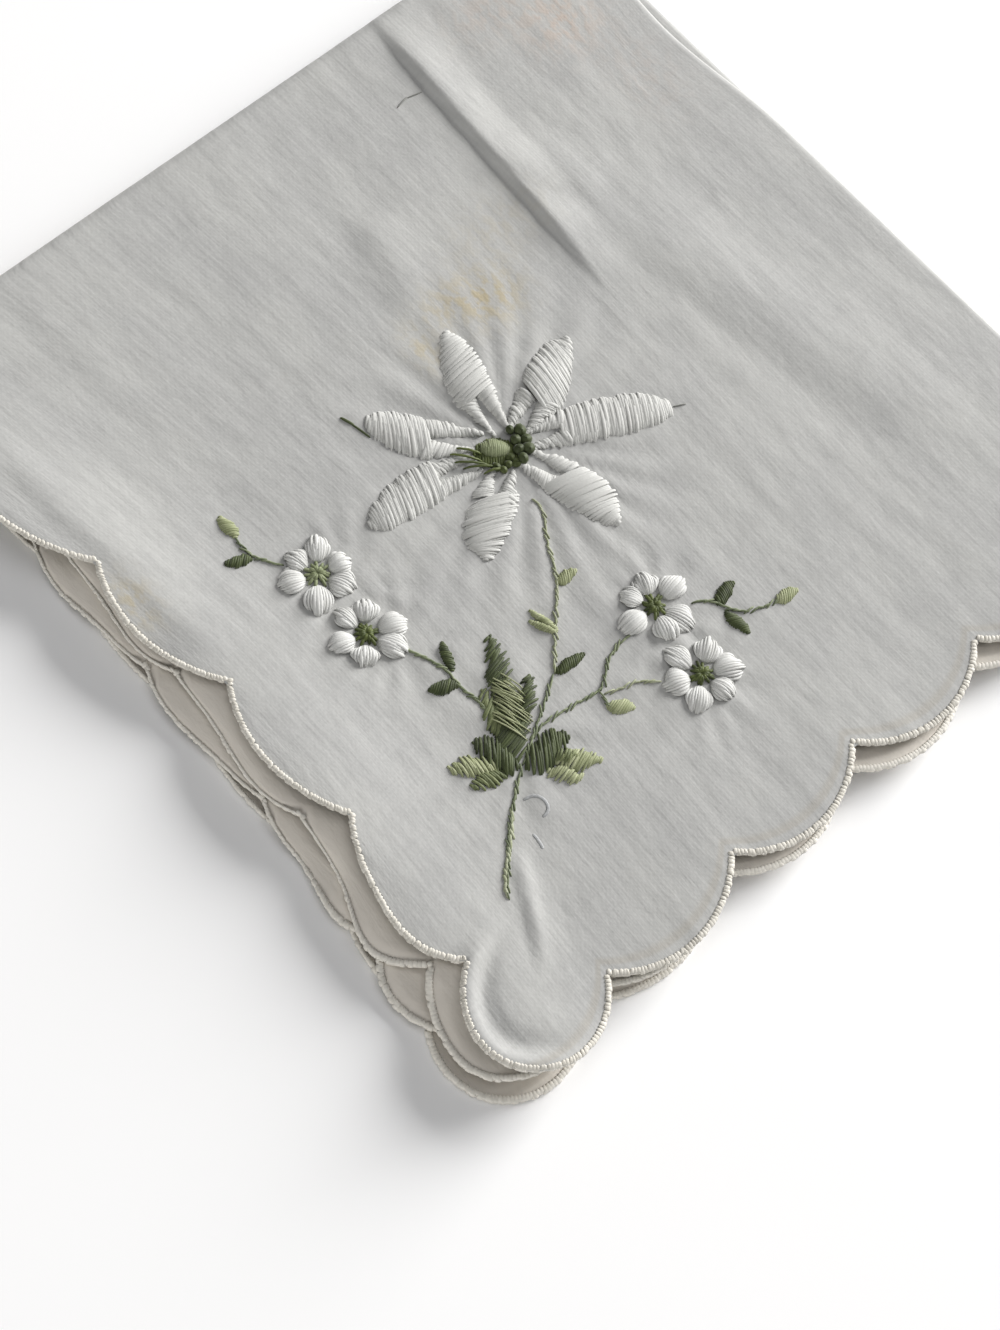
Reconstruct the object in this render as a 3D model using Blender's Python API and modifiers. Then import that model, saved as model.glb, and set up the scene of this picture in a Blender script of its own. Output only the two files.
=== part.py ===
"""A linen handkerchief with a scalloped edge, folded twice into quarters and laid flat.

The cloth is one square sheet. It is folded under along its upright middle line, which makes
the crease on +X, and then the pair of layers is folded under along the level middle line,
which makes the nested crease on +Y. The embroidered quarter ends on top, with its round
corner at -X -Y. The four layers lie a little apart. From the top they are called front,
back, turned back and turned front.

Sizes are in metres, +Z is up, and the origin is the middle of the footprint on the surface
that the cloth lies on.
"""

import math
from collections import namedtuple

import bmesh
import bpy
from mathutils import Vector

MM = 0.001

# The flat square and its scalloped outline.
HALF_SIDE = 150.0 * MM
SCALLOPS_PER_SIDE = 9
SCALLOP_PITCH = 28.35 * MM
SCALLOP_DEPTH = 6.0 * MM
SCALLOP_SEGMENTS = 8
CORNER_SEGMENTS = 15

# The sheet, and how closely its layers lie.
CLOTH_THICKNESS = 1.0 * MM
LAYER_SPACING = 1.5 * MM

# Where the middles of the creases' bends lie, seen from above.
UPPER_CREASE_X = 72.4 * MM
LOWER_CREASE_X = 73.9 * MM
NESTED_CREASE_Y = 73.0 * MM

# The upper crease is drawn in a little along one stretch.
DENT_MIDDLE_Y = 42.0 * MM
DENT_HALF_LENGTH = 26.0 * MM
DENT_DEPTH = 2.2 * MM
DENT_REACH = 24.0 * MM

# How each layer lies, in millimetres. A creep is how far an edge has worked outwards, and a
# slide is how far the cloth at that edge has been carried along it, towards the round
# corner. Each is given at the edge's crease end, at its corner end, and as a bow halfway
# between. The curl is the share by which the scallops of the -X edge draw in as they curl
# up, and the lifts and the wave raise the two edges.
Layer = namedtuple("Layer", "creep_x slide_y curl creep_y slide_x lift_x lift_y wave")
LAYERS = (
    # front
    Layer((6.0, -4.0, -6.0), (8.5, 0.3, 0.0), 0.3, (4.5, 2.0, -2.6), (2.2, 4.8, 0.0), 2.6, 0.9, 0.5),
    # back
    Layer((-1.0, -1.6, 0.0), (-2.5, -2.5, 0.0), 0.6, (4.5, 2.6, -0.8), (9.0, 3.6, 0.0), 1.5, 0.5, 0.35),
    # turned back
    Layer((1.0, 4.0, 0.5), (-5.0, -6.0, 0.0), 0.4, (-1.0, -3.0, 0.0), (0.0, 0.0, 0.0), 0.7, 0.2, 0.15),
    # turned front
    Layer((0.5, 5.5, -1.0), (3.0, 4.7, 0.0), 0.25, (-1.0, -2.6, 0.0), (0.0, 0.0, 0.0), 0.0, 0.0, 0.0),
)
CREEP_ZONE = 110.0 * MM
LIFT_ZONE = 30.0 * MM
SLIDE_START = 45.0 * MM
CURL_FADE_START = 106.0 * MM
CURL_FADE_LENGTH = 16.0 * MM
WAVE_LENGTH = 56.7 * MM
WAVE_START = 20.0 * MM

# Soft ridges of the top layer. Each runs straight, is steep on its -X side, and fades at
# both ends.
Ridge = namedtuple("Ridge", "start end height steep_width gentle_width")
RIDGES = (
    # a sharp tuck, then a broad swell
    Ridge((32.6 * MM, 76.0 * MM), (28.3 * MM, 10.0 * MM), 2.0 * MM, 1.7 * MM, 7.0 * MM),
    Ridge((38.0 * MM, 32.0 * MM), (54.0 * MM, -56.0 * MM), 1.4 * MM, 6.0 * MM, 12.0 * MM),
)

# Distances from the middle of the square at which it is divided, so that it can bend.
EDGE_LINES = (143.4, 139.5, 135.0, 129.0, 122.0)
FIELD_LINES = (112.0, 100.0, 86.0, 72.0, 58.0, 44.0, 30.0, 16.0)
BEND_SHARES = (-1.0, -0.6, -0.2, 0.2, 0.6, 1.0)

DIVIDE_TOLERANCE = 0.001 * MM

LINEN_COLOUR = (0.55, 0.54, 0.51, 1.0)
LINEN_ROUGHNESS = 0.9

CREASE_RADIUS = LAYER_SPACING / 2
NESTED_RADIUS = LAYER_SPACING
CREASE_QUARTER = math.pi * CREASE_RADIUS / 2
NESTED_QUARTER = math.pi * NESTED_RADIUS / 2
MIDDLE_HEIGHT = 1.5 * LAYER_SPACING + CLOTH_THICKNESS / 2


def clear_scene():
    for obj in list(bpy.data.objects):
        bpy.data.objects.remove(obj, do_unlink=True)


def smooth(share):
    """Runs softly from 0 to 1 as share does."""
    share = min(max(share, 0.0), 1.0)
    return share * share * (3 - 2 * share)


def arc(centre, radius, start, end, segments):
    """Points along an arc, without its last one."""
    points = []
    for step in range(segments):
        angle = start + (end - start) * step / segments
        points.append((centre[0] + radius * math.cos(angle), centre[1] + radius * math.sin(angle)))
    return points


def corner_points():
    """The round lobe at -X -Y, from its cusp on the -X side to its cusp on the -Y side."""
    span = HALF_SIDE - SCALLOPS_PER_SIDE * SCALLOP_PITCH / 2
    radius = span + SCALLOP_DEPTH - math.sqrt(2 * span * SCALLOP_DEPTH)
    middle = radius - HALF_SIDE
    start = math.atan2(span - radius, SCALLOP_DEPTH - radius)
    end = 2 * math.pi + math.atan2(SCALLOP_DEPTH - radius, span - radius)
    return arc((middle, middle), radius, start, end, CORNER_SEGMENTS)


def side_points():
    """The scallops of the -Y side, from -X to +X, each an arc between two cusps."""
    radius = (SCALLOP_PITCH**2 / 4 + SCALLOP_DEPTH**2) / (2 * SCALLOP_DEPTH)
    half_angle = math.asin(SCALLOP_PITCH / 2 / radius)
    down = 1.5 * math.pi
    points = []
    for index in range(SCALLOPS_PER_SIDE):
        middle = (index - (SCALLOPS_PER_SIDE - 1) / 2) * SCALLOP_PITCH
        centre = (middle, radius - HALF_SIDE)
        points += arc(centre, radius, down - half_angle, down + half_angle, SCALLOP_SEGMENTS)
    return points


def outline():
    """The whole edge of the flat square: one corner and one side, turned four times."""
    points = []
    for turn in range(4):
        cosine = round(math.cos(turn * math.pi / 2))
        sine = round(math.sin(turn * math.pi / 2))
        for x, y in corner_points() + side_points():
            points.append((x * cosine - y * sine, x * sine + y * cosine))
    return points


def cut(bm, faces, point, direction):
    """Divides the faces along a straight line through a point of the flat square."""
    edges = {edge for face in faces for edge in face.edges}
    verts = {vert for face in faces for vert in face.verts}
    normal = Vector((-direction[1], direction[0], 0)).normalized()
    bmesh.ops.bisect_plane(
        bm,
        geom=list(verts) + list(edges) + list(faces),
        dist=DIVIDE_TOLERANCE,
        plane_co=Vector((point[0], point[1], 0)),
        plane_no=normal,
    )


def flat_square():
    """The flat sheet, divided where it bends. Its middle is at the origin."""
    bm = bmesh.new()
    bm.faces.new([bm.verts.new((x, y, 0)) for x, y in outline()])
    lines = [sign * line * MM for line in EDGE_LINES + FIELD_LINES for sign in (-1, 1)]
    for line in lines + [share * CREASE_QUARTER for share in BEND_SHARES]:
        cut(bm, bm.faces[:], (line, 0), (0, 1))
    for line in lines + [share * NESTED_QUARTER for share in BEND_SHARES]:
        cut(bm, bm.faces[:], (0, line), (1, 0))
    return bm


def sheet_place(x, y):
    """Where a point of the folded top layer is on the flat square, the creases aside."""
    across = UPPER_CREASE_X + CREASE_QUARTER - x
    along = NESTED_CREASE_Y + NESTED_QUARTER - y
    return across, along


def divide_ridges(bm):
    """Lines along each ridge's crest and feet, cut only into the quarter that lies on top."""
    for ridge in RIDGES:
        start = Vector(sheet_place(*ridge.start))
        end = Vector(sheet_place(*ridge.end))
        gentle = ridge.gentle_width
        steep = ridge.steep_width
        for offset in (-gentle, -gentle / 2, 0.0, steep / 2, steep):
            point = start + Vector((offset, 0))
            top = [
                face
                for face in bm.faces
                if face.calc_center_median().x > CREASE_QUARTER
                and face.calc_center_median().y > NESTED_QUARTER
            ]
            cut(bm, top, point, end - start)


def bend(distance, quarter, radius):
    """A strip bent half round over a crease.

    Distance is measured along the strip from the crease. It returns how far in from the
    bend's middle the point comes to lie, and its height over that middle.
    """
    if abs(distance) >= quarter:
        return abs(distance) - quarter, math.copysign(radius, distance)
    angle = math.pi / 2 * (1 - distance / quarter)
    return -radius * math.sin(angle), radius * math.cos(angle)


def layer_shares(side, pair):
    """How much a point belongs to each of LAYERS. Its side and its pair each run from -1 to 1."""
    return (
        (1 + pair) * (1 + side) / 4,
        (1 + pair) * (1 - side) / 4,
        (1 - pair) * (1 - side) / 4,
        (1 - pair) * (1 + side) / 4,
    )


def ridge_height(x, y):
    """How far the ridges raise the top layer at a point seen from above."""
    height = 0.0
    for ridge in RIDGES:
        run = Vector(ridge.end) - Vector(ridge.start)
        share = (Vector((x, y)) - Vector(ridge.start)).dot(run) / run.length_squared
        side = x - (ridge.start[0] + run.x * share)
        width = ridge.steep_width if side < 0 else ridge.gentle_width
        ends = smooth(4 * share) * smooth(2 * (1 - share))
        height += ridge.height * smooth(1 - abs(side) / width) * ends
    return height


def along_edge(share, at_crease, at_corner, bow):
    """A value that changes along an edge, at a share of its length from crease to corner."""
    return at_crease + (at_corner - at_crease) * share + bow * math.sin(math.pi * share)


def rest_of_layer(layer, run_x, run_y):
    """How far a point of one layer is moved, along X, Y and Z, from lying flat and square."""
    share_x = min(max(run_x / HALF_SIDE, 0), 1)
    share_y = min(max(run_y / HALF_SIDE, 0), 1)
    reach_x = smooth((run_x - HALF_SIDE + CREEP_ZONE) / CREEP_ZONE)
    reach_y = smooth((run_y - HALF_SIDE + CREEP_ZONE) / CREEP_ZONE)
    edge_x = smooth((run_x - HALF_SIDE + LIFT_ZONE) / LIFT_ZONE)
    edge_y = smooth((run_y - HALF_SIDE + LIFT_ZONE) / LIFT_ZONE)
    out_x = reach_x * along_edge(share_y, *layer.creep_x)
    out_x += reach_y * smooth(run_x / SLIDE_START) * along_edge(share_x, *layer.slide_x)
    out_y = reach_y * along_edge(share_x, *layer.creep_y)
    out_y += reach_x * smooth(run_y / SLIDE_START) * along_edge(share_y, *layer.slide_y)
    curled = layer.curl * (1 - smooth((run_y - CURL_FADE_START) / CURL_FADE_LENGTH))
    scallop_run = max(run_x - (HALF_SIDE - SCALLOP_DEPTH - CREASE_QUARTER), 0)
    wave = layer.wave * math.sin(2 * math.pi * (run_y - WAVE_START) / WAVE_LENGTH)
    up = max(edge_x * (layer.lift_x + wave), edge_y * layer.lift_y)
    return Vector((curled * scallop_run - out_x * MM, -out_y * MM, up * MM))


def folded_place(across, along):
    """Where a point of the flat square comes to lie, before the sheet has its thickness."""
    run_x, side_height = bend(across, CREASE_QUARTER, CREASE_RADIUS)
    run_y, height = bend(along, NESTED_QUARTER, NESTED_RADIUS + side_height)
    side = side_height / CREASE_RADIUS
    pair = height / (NESTED_RADIUS + side_height)
    y = NESTED_CREASE_Y - run_y
    dent = DENT_DEPTH * smooth(1 - abs(y - DENT_MIDDLE_Y) / DENT_HALF_LENGTH)
    dent *= 1 - smooth(run_x / DENT_REACH)
    crease_x = LOWER_CREASE_X + (UPPER_CREASE_X - LOWER_CREASE_X - dent) * (1 + pair) / 2
    place = Vector((crease_x - run_x, y, MIDDLE_HEIGHT + height))
    shares = layer_shares(side, pair)
    place.z += shares[0] * ridge_height(UPPER_CREASE_X - run_x, y)
    for share, layer in zip(shares, LAYERS):
        place += share * rest_of_layer(layer, run_x, run_y)
    return place


def material(name, colour, roughness):
    made = bpy.data.materials.new(name)
    made.use_nodes = True
    shader = made.node_tree.nodes["Principled BSDF"]
    shader.inputs["Base Color"].default_value = colour
    shader.inputs["Roughness"].default_value = roughness
    shader.inputs["Metallic"].default_value = 0.0
    return made


def centre_footprint(obj):
    """Moves the mesh so that the middle of the finished sheet's footprint is at the origin."""
    bpy.context.view_layer.update()
    finished = obj.evaluated_get(bpy.context.evaluated_depsgraph_get())
    corners = [Vector(corner) for corner in finished.bound_box]
    middle_x = (min(c.x for c in corners) + max(c.x for c in corners)) / 2
    middle_y = (min(c.y for c in corners) + max(c.y for c in corners)) / 2
    for vert in obj.data.vertices:
        vert.co.x -= middle_x
        vert.co.y -= middle_y


def linen_square():
    bm = flat_square()
    divide_ridges(bm)
    bmesh.ops.triangulate(bm, faces=bm.faces[:])
    for vert in bm.verts:
        vert.co = folded_place(vert.co.x, vert.co.y)
    for face in bm.faces:
        face.smooth = True
    mesh = bpy.data.meshes.new("linen_square")
    bm.to_mesh(mesh)
    bm.free()
    obj = bpy.data.objects.new("linen_square", mesh)
    obj.data.materials.append(material("washed_linen", LINEN_COLOUR, LINEN_ROUGHNESS))
    solidify = obj.modifiers.new("cloth_thickness", "SOLIDIFY")
    solidify.thickness = CLOTH_THICKNESS
    solidify.offset = 0.0
    return obj


def main():
    clear_scene()
    collection = bpy.data.collections.new("linen_handkerchief")
    bpy.context.scene.collection.children.link(collection)
    square = linen_square()
    collection.objects.link(square)
    centre_footprint(square)


main()
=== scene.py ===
# %% [markdown]
# # An embroidered linen handkerchief, folded in four
#
# A lady's handkerchief is one square of thin linen. Its edge is cut in scallops and closed with
# buttonhole stitch, and one corner carries a spray of white flowers. Here it is folded twice, so
# that four layers lie on each other and the embroidered corner is on top. We start by loading the
# solid model that the cloth has to stay inside, and keep its box.

# %% Load the frame
import math

import bpy
import numpy as np
from mathutils import Matrix, Vector


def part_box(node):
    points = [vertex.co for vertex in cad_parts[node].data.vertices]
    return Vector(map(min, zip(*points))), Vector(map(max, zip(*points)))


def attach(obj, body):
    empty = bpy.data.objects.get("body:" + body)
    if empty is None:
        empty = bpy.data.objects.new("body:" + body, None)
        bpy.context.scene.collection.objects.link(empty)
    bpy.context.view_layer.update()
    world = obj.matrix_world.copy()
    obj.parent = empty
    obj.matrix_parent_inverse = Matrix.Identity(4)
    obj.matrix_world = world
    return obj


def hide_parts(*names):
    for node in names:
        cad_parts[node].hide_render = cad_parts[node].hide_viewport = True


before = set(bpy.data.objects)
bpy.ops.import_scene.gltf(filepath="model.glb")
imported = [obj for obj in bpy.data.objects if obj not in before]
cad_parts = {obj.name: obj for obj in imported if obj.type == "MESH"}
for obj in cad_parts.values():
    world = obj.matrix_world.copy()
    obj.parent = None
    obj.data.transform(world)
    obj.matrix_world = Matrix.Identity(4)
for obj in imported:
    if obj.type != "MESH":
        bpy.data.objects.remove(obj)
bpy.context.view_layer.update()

MM = 0.001
box_low, box_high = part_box("linen_square")
print("folded cloth, mm:", [round(size / MM, 1) for size in box_high - box_low])

# %% [markdown]
# ## The flat square and its edge
#
# Before it is folded the cloth is a flat square. Each side has nine shallow scallops, arcs that
# meet in sharp cusps, and each corner is one rounder lobe. An outline like this could be drawn by
# hand, but then no scallop would match the next. A small function that gives the edge's point
# for each place along a straight side keeps them equal, and both the cloth and its stitching use
# it.

# %% The scalloped outline
HALF_SIDE = 150.0 * MM
SCALLOPS = 9
SCALLOP_PITCH = 28.35 * MM
SCALLOP_DEPTH = 6.0 * MM
LOBE_SPAN = HALF_SIDE - SCALLOPS * SCALLOP_PITCH / 2
LOBE_RADIUS = LOBE_SPAN + SCALLOP_DEPTH - math.sqrt(2 * LOBE_SPAN * SCALLOP_DEPTH)
LOBE_MIDDLE = LOBE_RADIUS - HALF_SIDE
LOBE_END = math.atan2(SCALLOP_DEPTH - LOBE_RADIUS, LOBE_SPAN - LOBE_RADIUS)
LOBE_DIAGONAL = -0.75 * math.pi
ARC_RADIUS = (SCALLOP_PITCH**2 / 4 + SCALLOP_DEPTH**2) / (2 * SCALLOP_DEPTH)


def lower_side(run):
    """The scalloped edge for places along the flat square's lower side, as two arrays."""
    run = np.asarray(run, float)
    to_end = HALF_SIDE - np.abs(run)
    share = np.clip(to_end / LOBE_SPAN, 0, 1)
    angle = LOBE_DIAGONAL + (LOBE_END - LOBE_DIAGONAL) * share
    lobe_x = LOBE_MIDDLE + LOBE_RADIUS * np.cos(angle)
    lobe_y = LOBE_MIDDLE + LOBE_RADIUS * np.sin(angle)
    place = (run / SCALLOP_PITCH + SCALLOPS / 2) % 1 - 0.5
    arc_y = ARC_RADIUS - np.sqrt(ARC_RADIUS**2 - (place * SCALLOP_PITCH) ** 2) - HALF_SIDE
    in_lobe = to_end < LOBE_SPAN
    x = np.where(in_lobe, np.where(run < 0, lobe_x, -lobe_x), run)
    return x, np.where(in_lobe, lobe_y, arc_y)


def flat_edge():
    """The whole outline, anticlockwise from the lower left lobe, with points 0.1 mm apart."""
    run = np.linspace(-HALF_SIDE, HALF_SIDE, 3001)[:-1]
    x, y = lower_side(run)
    sides = [(x, y), (-y, x), (-x, -y), (y, -x)]
    return np.concatenate([np.stack(side, 1) for side in sides])


edge_points = flat_edge()
edge_steps = np.linalg.norm(np.roll(edge_points, -1, 0) - edge_points, axis=1)

# %% [markdown]
# ## How the cloth is folded
#
# The square is folded under along one middle line and then under along the other. A point of
# the flat square is told where it goes by a chain of small rules: bend it over the first crease,
# bend it over the second, and then shift and lift it a little with its layer, because hand-folded
# layers never end exactly above each other. Cloth simulation could fold it too, but it would not
# keep these creases where they are, so the fold is written down instead.

# %% Sizes of the fold
CLOTH_THICKNESS = 0.4 * MM
EDGE_HEIGHT = 1.0 * MM
LAYER_SPACING = 1.5 * MM
CREASE_RADIUS = LAYER_SPACING / 2
NESTED_RADIUS = LAYER_SPACING
CREASE_QUARTER = math.pi * CREASE_RADIUS / 2
NESTED_QUARTER = math.pi * NESTED_RADIUS / 2
MIDDLE_HEIGHT = 1.5 * LAYER_SPACING + EDGE_HEIGHT / 2
LOWER_CREASE_X = box_high.x - 1.2 * MM
UPPER_CREASE_X = LOWER_CREASE_X - 1.5 * MM
NESTED_CREASE_Y = box_high.y - 2.64 * MM
# The upper layers' crease is pressed in a little along this part of its length.
DENT_MIDDLE_Y = 44.0 * MM
DENT_HALF_LENGTH = 26.0 * MM
DENT_DEPTH = 2.2 * MM
DENT_REACH = 24.0 * MM
# How far in from a free edge its creep, its lift and its droop begin, and where the rest acts.
CREEP_ZONE = 110.0 * MM
LIFT_ZONE = 30.0 * MM
DROOP_ZONE = 11.0 * MM
SLIDE_START = 45.0 * MM
CURL_FADE_START = 106.0 * MM
CURL_FADE_LENGTH = 16.0 * MM
WAVE_LENGTH = 56.7 * MM
WAVE_START = 20.0 * MM
print("middle of the stack at", round(MIDDLE_HEIGHT / MM, 2), "mm")

# %% How each layer lies
# For each layer, in millimetres. creep_x and creep_y: how far its free edges on -X and -Y have
# crept outwards, at the crease end, at the corner end and as a bow between. slide_y and slide_x:
# how far the same two edges have slid along themselves. curl: how much of its scallops on -X
# curls in. lifts: how high the edge on -X, the edge on -Y and a wave along the first lift it.
# droop and ruffle: how far its rim on -X hangs onto the layer below, and how wavy that rim is.
LAYERS = {
    "front": dict(
        creep_x=(6.0, -4.0, -6.0), slide_y=(8.5, 0.3, 0.0),
        creep_y=(4.5, 2.0, -2.6), slide_x=(2.2, 4.8, 0.0),
        curl=0.3, lifts=(2.3, 0.9, 0.5), droop=0.5, ruffle=0.4),
    "back": dict(
        creep_x=(-0.2, -0.8, 0.0), slide_y=(-2.5, -2.5, 0.0),
        creep_y=(4.5, 2.6, -0.8), slide_x=(9.0, 3.6, 0.0),
        curl=0.72, lifts=(1.6, 0.5, 0.4), droop=2.0, ruffle=2.4),
    "turned_back": dict(
        creep_x=(2.2, 5.2, 0.5), slide_y=(-5.0, -6.0, 0.0),
        creep_y=(-1.0, -3.0, 0.0), slide_x=(0.0, 0.0, 0.0),
        curl=0.7, lifts=(0.8, 0.2, 0.25), droop=1.4, ruffle=1.9),
    "turned_front": dict(
        creep_x=(1.8, 6.8, -1.0), slide_y=(3.0, 4.7, 0.0),
        creep_y=(-1.0, -2.6, 0.0), slide_x=(0.0, 0.0, 0.0),
        curl=0.6, lifts=(0.0, 0.0, 0.0), droop=0.0, ruffle=0.0),
}
RUFFLE_LENGTH = 2.9 * MM
RUFFLE_DRIFT = 11.0 * MM
RUFFLE_OUT_LENGTH = 4.3 * MM
RUFFLE_UP = 0.16
RUFFLE_OUT = 0.3
print("layers from the top:", list(LAYERS))


# %% Bend, creep and ruffle
def smooth(share):
    """Runs softly from 0 to 1 as share does."""
    share = np.clip(share, 0.0, 1.0)
    return share * share * (3 - 2 * share)


def bend(distance, quarter, radius):
    """Bends a strip half round over a crease: how far in it ends up, and how high."""
    angle = np.pi / 2 * (1 - np.clip(distance / quarter, -1, 1))
    return np.maximum(np.abs(distance) - quarter, 0) - radius * np.sin(angle), radius * np.cos(angle)


def along_edge(share, at_crease, at_corner, bow):
    """A shift that runs from one value at the crease to another at the corner, with a bow."""
    return at_crease + (at_corner - at_crease) * share + bow * np.sin(np.pi * share)


def rest_of_layer(layer, run_x, run_y):
    """How far a layer's points are moved from lying flat and square, as three arrays."""
    share_x = np.clip(run_x / HALF_SIDE, 0, 1)
    share_y = np.clip(run_y / HALF_SIDE, 0, 1)
    reach_x = smooth((run_x - HALF_SIDE + CREEP_ZONE) / CREEP_ZONE)
    reach_y = smooth((run_y - HALF_SIDE + CREEP_ZONE) / CREEP_ZONE)
    edge_x = smooth((run_x - HALF_SIDE + LIFT_ZONE) / LIFT_ZONE)
    edge_y = smooth((run_y - HALF_SIDE + LIFT_ZONE) / LIFT_ZONE)
    out_x = reach_x * along_edge(share_y, *layer["creep_x"])
    out_x = out_x + reach_y * smooth(run_x / SLIDE_START) * along_edge(share_x, *layer["slide_x"])
    out_y = reach_y * along_edge(share_x, *layer["creep_y"])
    out_y = out_y + reach_x * smooth(run_y / SLIDE_START) * along_edge(share_y, *layer["slide_y"])
    curled = layer["curl"] * (1 - smooth((run_y - CURL_FADE_START) / CURL_FADE_LENGTH))
    scallop_run = np.maximum(run_x - (HALF_SIDE - SCALLOP_DEPTH - CREASE_QUARTER), 0)
    lift_x, lift_y, wave = layer["lifts"]
    wave = wave * np.sin(2 * np.pi * (run_y - WAVE_START) / WAVE_LENGTH)
    up = np.maximum(edge_x * (lift_x + wave), edge_y * lift_y)
    up = up - layer["droop"] * smooth((run_x - HALF_SIDE + DROOP_ZONE) / DROOP_ZONE)
    drift = 1.7 * np.sin(run_y / RUFFLE_DRIFT + layer["ruffle"])
    up = up + layer["ruffle"] * RUFFLE_UP * edge_x * np.sin(run_y / RUFFLE_LENGTH + drift)
    in_and_out = np.sin(run_y / RUFFLE_OUT_LENGTH + 5 * layer["ruffle"])
    out_x = out_x + layer["ruffle"] * RUFFLE_OUT * edge_x * in_and_out
    return curled * scallop_run - out_x * MM, -out_y * MM, up * MM


for name, layer in LAYERS.items():
    print(name, "rim rises", round(float(rest_of_layer(layer, HALF_SIDE, HALF_SIDE / 2)[2]) / MM, 2), "mm")

# %% [markdown]
# ## Creases, swells and puckers
#
# Folded linen is never flat. A sharp tuck runs in from the nested crease, a broad swell crosses
# the right side below it, a small crease runs from the stem's end into the corner, the left side
# rolls up a little, and the corner lobe's rim stands over a shallow groove. Embroidery always
# draws the cloth into fine puckers around itself. Sculpting would do all this, but could not be
# run again. So each crease is a named soft ridge with its ends, height and two widths, the
# puckers are waves that ring the flowers, and a few long waves leave the rest slightly uneven.

# %% Creases, puckers and waves of the top layer
RIDGES = {
    # name: (start, end, height, width on the -X side, width on the +X side), mm
    "tuck": ((34.6, 80.0), (29.3, 11.0), 1.25, 1.2, 8.0),
    "swell": ((40.6, 30.0), (57.5, -48.0), 0.75, 8.5, 13.0),
    "swell_foot": ((32.0, 45.0), (43.2, 26.0), 0.5, 4.0, 8.0),
    "corner_crease": ((-49.6, -41.6), (-59.6, -61.0), 0.55, 1.0, 2.2),
    "left_roll": ((-62.5, 60.0), (-66.5, 6.0), 0.45, 3.5, 7.0),
    "inner_swell": ((8.0, 52.0), (2.0, 30.0), 0.5, 6.0, 9.0),
}
FLOWER = (-3.3, 3.6)
PUCKER_CENTRES = (
    # x, y, inner radius, outer radius, mm, waves round, height in mm
    (*FLOWER, 7.0, 40.0, 23, 0.26),
    (-4.2, -31.1, 5.0, 16.0, 11, 0.19),
    (-6.5, -43.6, 5.0, 16.0, 10, 0.19),
    (-41.8, -5.4, 5.0, 16.0, 11, 0.19),
    (-41.0, 6.7, 5.0, 16.0, 10, 0.19),
    (-36.0, -31.0, 6.0, 20.0, 9, 0.2),
)
LONG_WAVES = (
    # height; length along X, how far it bends, the bend's length and phase;
    # length along Y and phase, how far it drifts and the drift's length, mm
    (0.25, 17.0, 0.6, 29.0, 0.0, 31.0, 1.3, 0.0, 1.0),
    (0.11, 5.3, 1.1, 19.0, 0.0, 13.0, 0.4, 0.0, 1.0),
    (0.045, 1.55, 1.7, 23.0, 0.5, 14.0, 0.0, 1.0, 7.0),
    (0.026, 0.9, 2.3, 27.0, 1.9, 11.0, 0.0, 2.0, 9.0),
)
# A ridge rises over the first of 4 parts of its length, and dies away over the last of 3.5.
RIDGE_FADE_IN, RIDGE_FADE_OUT = 4.0, 3.5
LOBE_CENTRE = (-61.7, -60.7)
RIM_RADIUS, RIM_WIDTH, RIM_HEIGHT = 11.2, 2.2, 0.9
GROOVE_RADIUS, GROOVE_DEPTH = 8.2, 0.45
print("named ridges:", list(RIDGES))


# %% How high they stand
def ridge(x, y, start, end, height, steep, gentle):
    """One soft ridge across the cloth, in millimetres."""
    run_x, run_y = end[0] - start[0], end[1] - start[1]
    share = ((x - start[0]) * run_x + (y - start[1]) * run_y) / (run_x**2 + run_y**2)
    side = x - (start[0] + run_x * share)
    width = np.where(side < 0, steep, gentle)
    ends = smooth(RIDGE_FADE_IN * share) * smooth(RIDGE_FADE_OUT * (1 - share))
    return height * smooth(1 - np.abs(side) / width) * ends


def puckers(x, y):
    """Small folds that ring each flower, in millimetres."""
    height = 0
    for centre_x, centre_y, inner, outer, waves, rise in PUCKER_CENTRES:
        out = np.hypot(x - centre_x, y - centre_y)
        turn = np.arctan2(y - centre_y, x - centre_x)
        ring = smooth((out - 0.4 * inner) / inner) * (1 - smooth((out - inner) / (outer - inner)))
        wobble = 1.2 * np.sin(3 * turn + centre_x) + 0.8 * np.sin(out / 5 + centre_y)
        height = height + rise * ring * np.sin(waves * turn + wobble)
    return height


def long_waves(x, y):
    """The slight unevenness of cloth that has lain folded, in millimetres."""
    total = 0
    for height, long, bends, bend_long, bend_phase, tall, phase, drifts, drift_long in LONG_WAVES:
        waves = np.sin(x / long + bends * np.sin(y / bend_long + bend_phase))
        total = total + height * waves * np.sin(y / tall + phase + drifts * np.sin(x / drift_long))
    return total


def lobe_rim(x, y):
    """The corner lobe's rolled rim, with a groove inside it, on the side that faces -X."""
    out = np.hypot(x - LOBE_CENTRE[0], y - LOBE_CENTRE[1])
    faces = smooth(0.4 - 1.1 * (x - LOBE_CENTRE[0]) / np.maximum(out, 1.0))
    rim = RIM_HEIGHT * smooth(1 - np.abs(out - RIM_RADIUS) / RIM_WIDTH)
    groove = GROOVE_DEPTH * smooth(1 - np.abs(out - GROOVE_RADIUS) / RIM_WIDTH)
    return faces * (rim - groove)


def top_relief(x, y):
    """How far the top layer rises at a point of the folded square, in metres."""
    x, y = x / MM, y / MM
    ridges = sum(ridge(x, y, *shape) for shape in RIDGES.values())
    return (ridges + puckers(x, y) + long_waves(x, y) + lobe_rim(x, y)) * MM


print("relief on the tuck:", round(float(top_relief(32 * MM, 45 * MM)) / MM, 2), "mm")


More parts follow.
